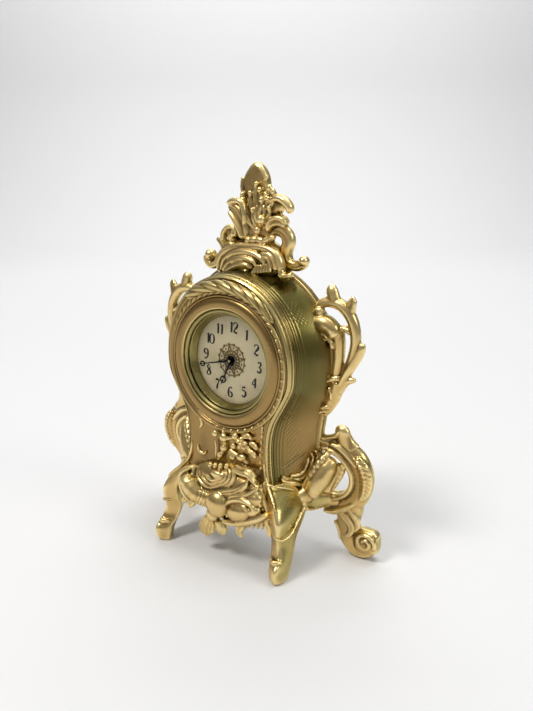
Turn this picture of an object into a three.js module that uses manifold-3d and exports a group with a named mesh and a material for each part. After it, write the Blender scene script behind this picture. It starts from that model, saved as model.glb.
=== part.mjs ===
// A gilt rococo table clock with a thirty-hour drum movement.
// Millimetres, +Z up; x runs to the right seen from the front, y runs from the front to the back.
// The clock is drawn with y = 0 at the bezel and is centred on its own box at the end.
import * as THREE from 'three';
import { mergeVertices } from 'three/addons/utils/BufferGeometryUtils.js';
import Module from 'manifold-3d';

const wasm = await Module();
wasm.setup();

// Fits
const castingGap = 0.3; // between castings that are screwed together
const runningGap = 0.2; // round a turning arbor, and between parts that turn past each other
const stackGap = 0.3; // between flat parts stacked along an arbor

// Case sizes
const dialHeight = 121; // dial centre above the table
const bodyFrontY = 1.5; // front end of the body
const bodyDepth = 26.5; // front end to back end of the body
const bodyWall = 2.2;
const waistHalfWidth = 29.5; // body front, at its waist
const backHipHalfWidth = 47.5; // body back, below the arch
const frontHemHeight = 46; // bottom edge of the body front
const backHemHeight = 36; // bottom edge of the body back
const frontPlateThickness = 2.4;
const backPlateThickness = 2.2;
const surroundWidth = 11.5; // bezel to the outer edge of the surround
const frontMargin = 2.5; // surround to the side of the body front, at dial height
const topMargin = 7.5; // surround to the top of the body front
const archFlare = 5.5; // how much higher the arch of the body is at the back than at the front
const surroundHeight = 2.2;
const ropeRadius = 3.2; // thickness of the twisted moulding over the dial
const ropeStandoff = 2.7; // surround to the middle of the moulding
const flarePower = 1.35; // 1 is a straight flare, more is a hollow one
const backPlateOverhang = 1.2; // back plate beyond the body

// Dial sizes
const bezelRadius = 31;
const bezelWall = 1.5;
const bezelLip = 0.6; // how far the bezel's lip covers the glass
const bezelSink = 1.7; // bezel's front behind the front of the surround
const glassSink = 0.9; // glass behind the bezel's front
const glassThickness = 1;
const dialY = 5; // front of the dial
const dialThickness = 0.8;
const sightWidth = 4.8; // bezel to the visible dial
const rosetteRadius = 10;
const rosetteThickness = 0.3;
const hourHandShortfall = 8.7; // hand's tip to the edge of the visible dial
const minuteHandShortfall = 1.7;
const handThickness = 0.5;
const handWidth = 1.1;

// Movement sizes
const canWall = 0.8;
const canStep = 0.3; // inside of the can beyond the bezel's lip
const plateMargin = 1; // inside of the can to the movement's plates
const pillarMargin = 2; // edge of the plates to the pillars
const canDepth = 29.5;
const canFlangeWidth = 4;
const canFlangeThickness = 1;
const capThickness = 1;
const plateThickness = 1.5;
const frontPlateY = 10; // front of the movement's front plate
const plateSpacing = 13.5; // between the two plates
const wheelThickness = 1;
const arborRadius = 0.55;
const centreArborRadius = 0.9;
const windingArborRadius = 1.6;
const barrelWall = 0.6;
const barrelDepth = 7.6;
const pillarRadius = 1.5;

// Bearings of each arbor from the last, in degrees seen from the front
const barrelBearing = 225;
const thirdBearing = 45;
const fourthBearing = 162;
const escapeBearing = 200;
const leverBearing = 225;
const balanceBearing = 237;
const minuteBearing = 300;

// Controls at the back
const knobRadius = 5;
const knobLength = 4;
const keyHubRadius = 2.8;
const keyHubLength = 6;
const keyWingSpan = 11; // arbor to the end of one wing
const keyWingLength = 11;
const keyWingThickness = 2;

// Radii that follow from those sizes
const surroundOuterRadius = bezelRadius + surroundWidth;
const frontHalfWidth = surroundOuterRadius + frontMargin;
const frontRise = surroundOuterRadius + topMargin;
const backRadius = frontRise + archFlare;
const ropeArchRadius = surroundOuterRadius + ropeStandoff;
const sightRadius = bezelRadius - sightWidth;
const hourHandLength = sightRadius - hourHandShortfall;
const minuteHandLength = sightRadius - minuteHandShortfall;
const canInnerRadius = bezelRadius - bezelWall - bezelLip + canStep;
const canRadius = canInnerRadius + canWall;
const dialRadius = canInnerRadius - runningGap;
const moveRadius = dialRadius - plateMargin; // the movement's plates
const pillarCircle = moveRadius - pillarRadius - pillarMargin;

// Train: radii, teeth and modules, laid out to fill the plates
const layoutRadius = 28; // plates that the numbers below are drawn for
const trainScale = moveRadius / layoutRadius;
const barrelRadius = 11 * trainScale;
const barrelTeeth = 48;
const barrelModule = 0.5 * trainScale;
const centreTeeth = 48;
const centreModule = 0.45 * trainScale;
const thirdTeeth = 45;
const thirdModule = 0.42 * trainScale;
const fourthTeeth = 48;
const fourthModule = 0.4 * trainScale;
const leaves = 6; // leaves of every train pinion
const cannonLeaves = 8;
const minuteTeeth = 24;
const minuteModule = 0.45 * trainScale;
const minuteLeaves = 6;
const hourTeeth = 24;
const escapeTeeth = 15;
const escapeRadius = 6 * trainScale;
const ratchetTeeth = 20;
const ratchetRadius = 5.5 * trainScale;
const balanceRadius = 5.5 * trainScale;
const balanceRim = 1;

// Places along y that follow from those sizes
const frontPlateBackY = bodyFrontY - castingGap;
const frontPlateFrontY = frontPlateBackY - frontPlateThickness;
const bodyBackY = bodyFrontY + bodyDepth;
const backPlateY = bodyBackY + castingGap;
const backPlateBackY = backPlateY + backPlateThickness;
const bezelBackY = bodyFrontY - castingGap;
const surroundBackY = frontPlateFrontY - castingGap;
const surroundFrontY = surroundBackY - surroundHeight;
const bezelFrontY = surroundFrontY + bezelSink;
const glassY = bezelFrontY + glassSink;
const canBackY = bodyFrontY + canDepth;
const capY = canBackY + stackGap;
const capBackY = capY + capThickness;
const dialBackY = dialY + dialThickness;
const plateBackY = frontPlateY + plateThickness;
const rearPlateY = plateBackY + plateSpacing;
const rearPlateBackY = rearPlateY + plateThickness;

// Materials
const gilt = new THREE.MeshStandardMaterial({ color: 0xb08d4a, roughness: 0.36, metalness: 1 });
const brass = new THREE.MeshStandardMaterial({ color: 0xb59a52, roughness: 0.3, metalness: 1 });
const steel = new THREE.MeshStandardMaterial({ color: 0x8d9094, roughness: 0.35, metalness: 1 });
const blued = new THREE.MeshStandardMaterial({ color: 0x23252c, roughness: 0.4, metalness: 1 });
const cream = new THREE.MeshStandardMaterial({ color: 0xd8cda8, roughness: 0.6, metalness: 0 });
const clear = new THREE.MeshStandardMaterial({ color: 0xeef2f0, roughness: 0.05, metalness: 0 });

// Solids

/** The volume inside a closed geometry, negative where its faces point in. */
function signedVolume(position, index) {
  const [a, b, c] = [new THREE.Vector3(), new THREE.Vector3(), new THREE.Vector3()];
  let volume = 0;
  for (let i = 0; i < index.length; i += 3) {
    a.fromBufferAttribute(position, index[i]);
    b.fromBufferAttribute(position, index[i + 1]);
    c.fromBufferAttribute(position, index[i + 2]);
    volume += a.dot(b.cross(c)) / 6;
  }
  return volume;
}

/** A closed geometry with shared vertices merged, no empty faces, and its faces pointing out. */
function closed(geometry) {
  const bare = geometry.clone();
  for (const name of ['normal', 'uv']) bare.deleteAttribute(name);
  const merged = mergeVertices(bare, 1e-4);
  const source = merged.index.array;
  const kept = [];
  for (let i = 0; i < source.length; i += 3) {
    const [a, b, c] = [source[i], source[i + 1], source[i + 2]];
    if (a !== b && b !== c && c !== a) kept.push(a, b, c);
  }
  if (signedVolume(merged.attributes.position, kept) < 0) kept.reverse();
  merged.setIndex(kept);
  return merged;
}

/** A closed geometry as a solid that can be joined and cut. */
function solidOf(geometry) {
  const whole = closed(geometry);
  return new wasm.Manifold(new wasm.Mesh({
    numProp: 3,
    vertProperties: new Float32Array(whole.attributes.position.array),
    triVerts: new Uint32Array(whole.index.array),
  }));
}

/** A solid as a geometry again. */
function geometryOf(solid) {
  const mesh = solid.getMesh();
  const geometry = new THREE.BufferGeometry();
  geometry.setAttribute('position', new THREE.BufferAttribute(mesh.vertProperties, 3));
  geometry.setIndex(new THREE.BufferAttribute(mesh.triVerts, 1));
  return geometry;
}

/** Several overlapping geometries as one. */
function join(...geometries) {
  return geometryOf(geometries.map(solidOf).reduce((whole, next) => whole.add(next)));
}

/** A geometry with others taken out of it. */
function cut(geometry, ...tools) {
  return geometryOf(tools.map(solidOf).reduce((rest, tool) => rest.subtract(tool), solidOf(geometry)));
}

/** The part of a geometry that lies inside another. */
function within(geometry, bounds) {
  return geometryOf(solidOf(geometry).intersect(solidOf(bounds)));
}

/** A geometry mirrored left to right. */
function mirrored(geometry) {
  return geometry.clone().scale(-1, 1, 1);
}

// Shapes

/** A body turned about the y axis, from [radius, y] points of a closed profile. */
function turned(profile, segments = 32) {
  return new THREE.LatheGeometry(profile.map(([r, y]) => new THREE.Vector2(r, y)), segments);
}

/** A disc or, with an inner radius, a ring about the y axis. */
function disc(radius, y0, y1, inner = 0, segments = 32) {
  const profile = [[inner, y0], [radius, y0], [radius, y1], [inner, y1]];
  return turned(inner > 0 ? [...profile, profile[0]] : profile, segments);
}

/** A rod along y at a place in the x-z plane. */
function rod([x, z], radius, y0, y1, segments = radius > 1 ? 12 : 6) {
  return disc(radius, y0, y1, 0, segments).translate(x, 0, z);
}

/** A flat plate from an outline in x and z, between two depths. */
function plate(outline, y0, y1) {
  const shape = new THREE.Shape(outline.map(([x, z]) => new THREE.Vector2(x, z)));
  const geometry = new THREE.ExtrudeGeometry(shape, { depth: y1 - y0, bevelEnabled: false });
  return geometry.rotateX(Math.PI / 2).translate(0, y1, 0);
}

/** A box between two corners. */
function block([x0, y0, z0], [x1, y1, z1]) {
  const box = new THREE.BoxGeometry(x1 - x0, y1 - y0, z1 - z0);
  return box.translate((x0 + x1) / 2, (y0 + y1) / 2, (z0 + z1) / 2);
}

/** An ellipsoid. */
function ball([x, y, z], [rx, ry, rz], segments = 8) {
  const sphere = new THREE.SphereGeometry(1, segments, segments / 2);
  return sphere.scale(rx, ry, rz).translate(x, y, z);
}

/** Points given as [x, z], set on a plane whose depth is a number or a function of the height. */
function onPlane(points, depth) {
  const y = typeof depth === 'function' ? depth : () => depth;
  return points.map(([x, z]) => new THREE.Vector3(x, y(z), z));
}

/** A value read along a list that is spread evenly over 0 to 1. */
function along(values, t) {
  const place = t * (values.length - 1);
  const i = Math.min(Math.floor(place), values.length - 2);
  return THREE.MathUtils.lerp(values[i], values[i + 1], place - i);
}

/**
 * A scroll, stem or leaf: an oval section carried along a smooth line through the points.
 * Half widths and half depths are read along the line; the depth lies along the given normal.
 */
function limb(points, halfWidths, halfDepths, { steps = 5, sides = 5, normal = [0, 1, 0] } = {}) {
  const curve = new THREE.CatmullRomCurve3(points, false, 'centripetal');
  const depthAxis = new THREE.Vector3(...normal).normalize();
  const vertices = [];
  const faces = [];
  for (let i = 0; i <= steps; i++) {
    const t = i / steps;
    const centre = curve.getPointAt(t);
    const tangent = curve.getTangentAt(t);
    const across = new THREE.Vector3().crossVectors(tangent, depthAxis).normalize();
    const deep = new THREE.Vector3().crossVectors(across, tangent).normalize();
    for (let j = 0; j < sides; j++) {
      const angle = (2 * Math.PI * j) / sides;
      const point = centre.clone();
      point.addScaledVector(across, along(halfWidths, t) * Math.cos(angle));
      point.addScaledVector(deep, along(halfDepths, t) * Math.sin(angle));
      vertices.push(...point.toArray());
    }
  }
  for (let i = 0; i < steps; i++) {
    for (let j = 0; j < sides; j++) {
      const [a, b] = [i * sides + j, i * sides + ((j + 1) % sides)];
      faces.push(a, b, b + sides, a, b + sides, a + sides);
    }
  }
  const last = steps * sides;
  for (let j = 1; j < sides - 1; j++) {
    faces.push(0, j + 1, j);
    faces.push(last, last + j, last + j + 1);
  }
  const geometry = new THREE.BufferGeometry();
  geometry.setAttribute('position', new THREE.Float32BufferAttribute(vertices, 3));
  geometry.setIndex(faces);
  return geometry;
}

/**
 * A body through level sections, each given as its height and its corners in order.
 * Every corner is cut off at the given share of the edges that meet there.
 */
function loft(rows, share) {
  const vertices = [];
  const faces = [];
  const sides = 2 * (rows[0].length - 1);
  for (const [z, ...corners] of rows) {
    corners.forEach(([x, y], i) => {
      const [x1, y1] = corners[(i + 1) % corners.length];
      for (const t of [share, 1 - share]) {
        vertices.push(THREE.MathUtils.lerp(x, x1, t), THREE.MathUtils.lerp(y, y1, t), z);
      }
    });
  }
  for (let i = 0; i < rows.length - 1; i++) {
    for (let j = 0; j < sides; j++) {
      const [a, b] = [i * sides + j, i * sides + ((j + 1) % sides)];
      faces.push(a, b, b + sides, a, b + sides, a + sides);
    }
  }
  const last = (rows.length - 1) * sides;
  for (let j = 1; j < sides - 1; j++) {
    faces.push(0, j + 1, j);
    faces.push(last, last + j, last + j + 1);
  }
  const geometry = new THREE.BufferGeometry();
  geometry.setAttribute('position', new THREE.Float32BufferAttribute(vertices, 3));
  geometry.setIndex(faces);
  return geometry;
}

/** Points of a flat spiral that winds in to its eye, as [x, z]. */
function spiral([x, z], outer, inner, fromDegrees, turns, count = 10) {
  return Array.from({ length: count }, (_, i) => {
    const t = i / (count - 1);
    const angle = THREE.MathUtils.degToRad(fromDegrees + 360 * turns * t);
    const radius = THREE.MathUtils.lerp(outer, inner, t);
    return [x + radius * Math.cos(angle), z + radius * Math.sin(angle)];
  });
}

/** The place at a distance and bearing from another. */
function from([x, z], distance, degrees) {
  const angle = THREE.MathUtils.degToRad(degrees);
  return [x + distance * Math.cos(angle), z + distance * Math.sin(angle)];
}

/** The bearing of one place seen from another, in degrees. */
function bearing([x0, z0], [x1, z1]) {
  return THREE.MathUtils.radToDeg(Math.atan2(z1 - z0, x1 - x0));
}

// Body of the case

const archSteps = 12;
const archLowAngle = -12; // where the arch ends and the waist begins, in degrees

/** Half of a body outline, from the top of its arch down to its hem, as [x, z]. */
function halfOutline(halfWidth, rise, lower) {
  const arch = Array.from({ length: archSteps + 1 }, (_, i) => {
    const angle = THREE.MathUtils.degToRad(THREE.MathUtils.lerp(90, archLowAngle, i / archSteps));
    return [halfWidth * Math.cos(angle), dialHeight + rise * Math.sin(angle)];
  });
  return [...arch, ...lower];
}

/** A whole outline from its right half. */
function bothSides(half) {
  const left = half.slice(1).reverse().map(([x, z]) => [-x, z]);
  return [...half, ...left];
}

/** An outline moved outwards by a distance, or inwards by a negative one. */
function offset(outline, distance) {
  return outline.map(([x, z], i) => {
    const [px, pz] = outline[(i + outline.length - 1) % outline.length];
    const [nx, nz] = outline[(i + 1) % outline.length];
    const length = Math.hypot(nx - px, nz - pz);
    return [x - (distance * (nz - pz)) / length, z + (distance * (nx - px)) / length];
  });
}

/** Points below an arch, from [step out of the waist, level], the levels counted from hem to dial. */
function belowArch(waist, hemHeight, levels, points) {
  const rise = (dialHeight - hemHeight) / levels;
  return points.map(([step, level]) => [waist + step, hemHeight + rise * level]);
}

const frontOutline = bothSides(halfOutline(frontHalfWidth, frontRise, belowArch(
  waistHalfWidth, frontHemHeight, 75, [[8, 52], [3, 43], [0.5, 34], [0, 22], [1, 10], [3, 0]],
)));
const backOutline = bothSides(halfOutline(backRadius, backRadius, belowArch(
  backHipHalfWidth, backHemHeight, 85, [[4.5, 62], [1.5, 54], [0, 45], [-0.5, 30], [-1, 14], [-2, 0]],
)));

/**
 * A solid that runs from the front outline to the back outline, flaring slowly and then fast.
 * The outlines are moved out by the margin, and the ends are lengthened by the overrun.
 */
function bodyLoft(margin, overrun) {
  const rings = 5;
  const [inner, outer] = [offset(frontOutline, margin), offset(backOutline, margin)];
  const count = inner.length;
  const vertices = [];
  const faces = [];
  for (let k = 0; k < rings; k++) {
    const t = k / (rings - 1);
    const flare = t ** flarePower;
    const end = k === 0 ? -overrun : k === rings - 1 ? overrun : 0;
    for (let i = 0; i < count; i++) {
      vertices.push(
        THREE.MathUtils.lerp(inner[i][0], outer[i][0], flare),
        bodyFrontY + bodyDepth * t + end,
        THREE.MathUtils.lerp(inner[i][1], outer[i][1], flare),
      );
    }
  }
  for (let k = 0; k < rings - 1; k++) {
    for (let i = 0; i < count; i++) {
      const [a, b] = [k * count + i, k * count + ((i + 1) % count)];
      faces.push(a, b, b + count, a, b + count, a + count);
    }
  }
  const last = (rings - 1) * count;
  for (const [ring, ends] of [[inner, 0], [outer, last]]) {
    const contour = ring.map(([x, z]) => new THREE.Vector2(x, z));
    for (const [a, b, c] of THREE.ShapeUtils.triangulateShape(contour, [])) {
      faces.push(...(ends ? [ends + c, ends + b, ends + a] : [a, b, c]));
    }
  }
  const geometry = new THREE.BufferGeometry();
  geometry.setAttribute('position', new THREE.Float32BufferAttribute(vertices, 3));
  geometry.setIndex(faces);
  return geometry;
}

const bodyClearance = bodyLoft(castingGap, castingGap / 2);
const backPlateOutline = offset(backOutline, backPlateOverhang);
const backClearance = plate(offset(backPlateOutline, castingGap), bodyBackY, backPlateBackY + castingGap);
const frontClearance = plate(
  offset(frontOutline, castingGap), frontPlateFrontY - castingGap, bodyFrontY,
);

/** The hollow body, open at the front and at the back. */
function bodyShell() {
  return cut(bodyLoft(0, 0), bodyLoft(-bodyWall, 1));
}

const onDial = [0, 0, dialHeight];

/** The plain front of the case, with the hole for the bezel. */
function frontPlate() {
  const hole = disc(bezelRadius + castingGap, frontPlateFrontY - 1, bodyFrontY).translate(...onDial);
  return cut(plate(frontOutline, frontPlateFrontY, frontPlateBackY), hole);
}

/** The raised ring round the bezel, with its stepped edge. */
function dialSurround() {
  const inner = bezelRadius + castingGap;
  const step = surroundHeight * 0.45;
  const profile = [
    [inner, surroundBackY],
    [inner, surroundFrontY],
    [surroundOuterRadius - 6.5, surroundFrontY],
    [surroundOuterRadius - 5.5, surroundFrontY + step],
    [surroundOuterRadius - 4.5, surroundFrontY],
    [surroundOuterRadius - 1.5, surroundFrontY + step],
    [surroundOuterRadius, surroundBackY],
  ];
  return turned([...profile, profile[0]]).translate(...onDial);
}

/** The twisted moulding over the dial: an arch that tapers to both ends. */
function ropeMoulding() {
  const lowDegrees = 40;
  const count = 9;
  const points = Array.from({ length: count }, (_, i) => {
    const degrees = THREE.MathUtils.lerp(lowDegrees, 180 - lowDegrees, i / (count - 1));
    return from([0, dialHeight], ropeArchRadius, degrees);
  });
  const half = [0.35, 0.8, 1, 1, 0.8, 0.35].map((share) => share * ropeRadius);
  const rope = limb(onPlane(points, frontPlateFrontY - ropeRadius * 0.3), half, half, { steps: 20 });
  const reach = ropeArchRadius + 2 * ropeRadius;
  const front = block(
    [-reach, frontPlateFrontY - 3 * ropeRadius, dialHeight],
    [reach, frontPlateFrontY - castingGap, dialHeight + reach],
  );
  const ring = disc(surroundOuterRadius + castingGap, surroundFrontY - 9, frontPlateFrontY + 1);
  return cut(within(rope, front), ring.translate(...onDial));
}

// Ornament of the case

const rearPlaneY = bodyBackY; // the crest and the side handles stand over the back edge of the body
const flowerDepth = 5;
const apronTop = dialHeight - 56; // the apron covers the front below this height

/**
 * The right-hand side handle: a pierced C-scroll with leaves, standing off the body.
 * Drawn from the right-hand end of the arch at the back of the body.
 */
function sideHandle() {
  const y = rearPlaneY;
  const stem = [
    [-10.5, 31], [-5.5, 36], [0.5, 36.5], [5.5, 33.5], [10, 27], [12.5, 20], [12, 13],
    [9.5, 5], [6, -3], [2, -11], [-1.5, -18], [-4.5, -25], [-6.5, -29],
  ];
  const column = [[-8.5, 25], [-3.5, 21], [0.5, 14], [2.1, 5], [1.5, -4], [-1, -13]];
  const pieces = [
    limb(onPlane(stem, y), [2.6, 3.2, 3.4, 3.4, 3, 2.4, 2], [3, 3.8, 3.8, 3.4, 3, 2.6, 2.4], {
      steps: 15,
      sides: 6,
    }),
    ball([-10, y, 31], [3.6, 3.8, 3.6]),
    ball([-8.5, y, 24.5], [4.6, 4.4, 4.4]),
    limb(onPlane(column, y), [3.4, 3, 2.6, 2.4, 1.8], [3.6, 3.2, 3, 2.8, 2.2]),
    limb(onPlane([[1.5, 35], [-0.7, 40], [-1.7, 44], [-3.1, 47]], y), [3, 2.8, 1.2], [2.6, 2.2, 1]),
    limb(onPlane([[2.5, 35], [7, 36.8], [10.5, 34], [12.5, 29]], y), [2, 2.2, 1], [2.4, 2.2, 1]),
    limb(onPlane([[6.5, -3], [10.5, 2], [14.5, 9], [17.9, 17.5]], y), [1.8, 2.2, 2.2, 1], [2.4, 2.2, 1.2]),
    limb(onPlane([[1.5, -14], [6, -9.5], [9.5, -7.2], [13.5, -6.4]], y), [2, 1.8, 0.8], [2.2, 2, 1]),
    limb(onPlane([[-0.5, 18], [4, 21.5], [10.5, 24]], y), [1.5, 1.4, 1.6], [2, 2, 2], { steps: 3 }),
    limb(onPlane([[-5.5, -5], [-0.5, -8], [3.5, -9]], y), [1.6, 2, 1.4], [2.2, 2.2, 2], { steps: 3 }),
  ];
  const seated = join(...pieces).translate(backRadius, 0, dialHeight);
  return cut(seated, bodyClearance, backClearance);
}

const rearLegLean = 0.15; // how far the rear leg steps back as it comes down
const rearLegStep = 5; // rear leg behind the body, at the middle of its ring
const rearLegY = (z) => bodyBackY + rearLegStep + rearLegLean * (60 - z);

/** The right-hand rear leg: a ring bracket with a leaf on top, a gadrooned horn and a scroll foot. */
function rearLeg() {
  const ring = [
    [44, 73], [54, 73.5], [63, 71.5], [70, 66], [73.2, 58], [72.6, 48], [68, 39], [59.5, 32.5],
    [50, 30.5], [43, 31],
  ];
  const shin = [[66, 38], [63, 28], [61, 18], [61, 10], [65.5, 4.2], [71.5, 3.2], [77.6, 7.4], [79, 14]];
  const horn = [[41, 11, 45], [47, 14, 43], [53.5, 19, 47], [57, 25, 56], [56, 30, 66], [51, 32, 72]];
  const hornPoints = horn.map((point) => new THREE.Vector3(...point));
  const pieces = [
    limb(onPlane(ring, rearLegY), [2.6, 4.2, 6, 7, 7.4, 7, 6.6, 6.4, 4.6], [4, 5, 5.4, 5.4, 5, 5, 4], {
      steps: 14,
      sides: 6,
    }),
    limb(onPlane(shin, rearLegY), [6.4, 8.2, 8, 6, 4.8, 4.6, 4, 3], [5, 5], { steps: 11, sides: 6 }),
    limb(onPlane(spiral([74.6, 12.6], 5.6, 1.6, -20, 1), rearLegY), [3.4, 2.4], [5, 5.6], { steps: 10 }),
    limb(onPlane([[65, 74], [62, 80], [62.4, 85], [63.6, 88.8]], rearLegY), [6.5, 5, 4, 1.4], [4, 3.4, 1.6]),
    limb(hornPoints, [4, 6.2, 7, 6.6, 4.4], [4, 6, 6.6, 6, 4], { normal: [-0.4, 1, 0] }),
  ];
  const floor = block([0, -100, -50], [200, 200, 0]);
  const ahead = block([0, -100, -50], [200, legSplitY + castingGap / 2, 200]);
  return cut(join(...pieces), bodyClearance, backClearance, floor, ahead);
}

const legSplitY = 13; // the front legs end and the rear brackets begin here
const legSplitX = 30; // the apron ends and the front legs begin here
const cornerCut = 0.14; // share of each edge that rounds off the front leg's corners

/**
 * The right-hand front leg: a cabriole leg with a ridge to the corner and a hoof toe.
 * Each row gives a height and, as [x, y], the front, ridge, side and inner corners there.
 */
function frontLeg() {
  const rows = [
    [52.5, [30, -1.5], [31.3, -3.4], [38, 10], [33, 12]],
    [49, [30.3, -3.6], [35.6, -5.8], [41, 13], [34, 14]],
    [45, [31.4, -5.4], [39.5, -8.5], [43.5, 15], [36, 16]],
    [41.5, [32.8, -6.6], [42.4, -10.4], [44.8, 16.5], [38, 17]],
    [35.5, [34.4, -7.6], [45, -13.3], [45.8, 18], [39.5, 16]],
    [29, [34.6, -7], [44.8, -13], [46.4, 13], [39.5, 10]],
    [22, [34.2, -5.3], [43.8, -11.5], [46.9, 5.5], [39.5, 4]],
    [15.5, [35.4, -7.4], [45.7, -13], [47.3, 2], [40.5, 0.5]],
    [9.6, [37.5, -12], [46, -18.6], [47.7, -0.5], [41.4, -2]],
    [6, [37.6, -13], [45.6, -18.8], [47.8, -2.6], [42, -4]],
    [2, [38.2, -13.4], [45.5, -17.4], [47.6, -5], [42.3, -5]],
    [0, [39, -13], [45.4, -15.6], [47, -6.6], [42.5, -6]],
  ];
  const behind = block([0, legSplitY - castingGap / 2, -50], [200, 200, 200]);
  const inside = block([-200, -100, -50], [legSplitX + castingGap / 2, 200, 200]);
  const bothWalls = [bodyClearance, mirrored(bodyClearance)]; // the pair fits either side
  return cut(loft(rows, cornerCut), ...bothWalls, frontClearance, behind, inside);
}

/** The apron between the front legs: a shell cartouche over scrolls, a ball and a hanging leaf. */
function apron() {
  const rows = [
    ball([-1, -4, 48], [22, 11, 15], 12),
    ball([-3, -9, 50], [12, 8, 10], 10),
    limb(onPlane([[-29, 52], [-24, 44], [-14, 36], [-4, 31]], -8), [4, 6, 6, 4], [5, 7, 7, 5]),
    limb(onPlane([[29, 50], [22, 42], [14, 35], [4, 29]], -8), [4, 6.4, 7, 4], [5, 7, 7, 5]),
    ball([-0.2, -12.5, 32.5], [7, 5.5, 9], 10),
    limb(onPlane([[-4, 32], [-7, 23], [-9, 15], [-10, 11]], -10), [5, 7.5, 6.5, 2.5], [4, 4.5, 3.5, 1.5]),
    limb(onPlane([[5, 32], [8, 23], [9, 17]], -8), [5, 4, 1.2], [4, 3, 1]),
    limb(onPlane([[13, 35], [18, 28], [22, 22]], -6), [6, 5, 1.2], [4, 3, 1]),
    limb(onPlane([[21, 39], [25, 31], [28, 25]], -6), [5, 4, 1], [4, 3, 1]),
    limb(onPlane([[-14, 35], [-20, 29], [-26, 26]], -7), [5, 4, 1], [4, 3, 1]),
  ];
  const reach = legSplitX - castingGap / 2;
  const room = block([-reach, -60, 0], [reach, frontPlateFrontY - castingGap, apronTop]);
  return within(join(...rows), room);
}

/** A spray of flowers on a stem, on the plain panel under the dial, drawn from the dial centre. */
function panelSpray() {
  const backY = frontPlateFrontY - castingGap;
  const stem = [[-4, -51], [1, -48], [7, -51], [13, -46.5], [18, -49], [22, -46]];
  const flowers = [[1, -48], [13, -46.5], [7, -51.5]].map(([x, z]) => (
    ball([x, backY, z], [3.4, flowerDepth / 2, 3.4])
  ));
  const front = block([-legSplitX, -60, apronTop + castingGap], [legSplitX, backY, dialHeight]);
  const surround = disc(surroundOuterRadius + castingGap, surroundFrontY - 5, bodyFrontY);
  const branch = limb(onPlane(stem, backY), [1, 1.8, 1.8, 1.8, 1.4, 0.8], [1.6, 1.6, 1.2], { steps: 10 });
  const spray = join(branch, ...flowers).translate(...onDial);
  return cut(within(spray, front), surround.translate(...onDial));
}

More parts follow.
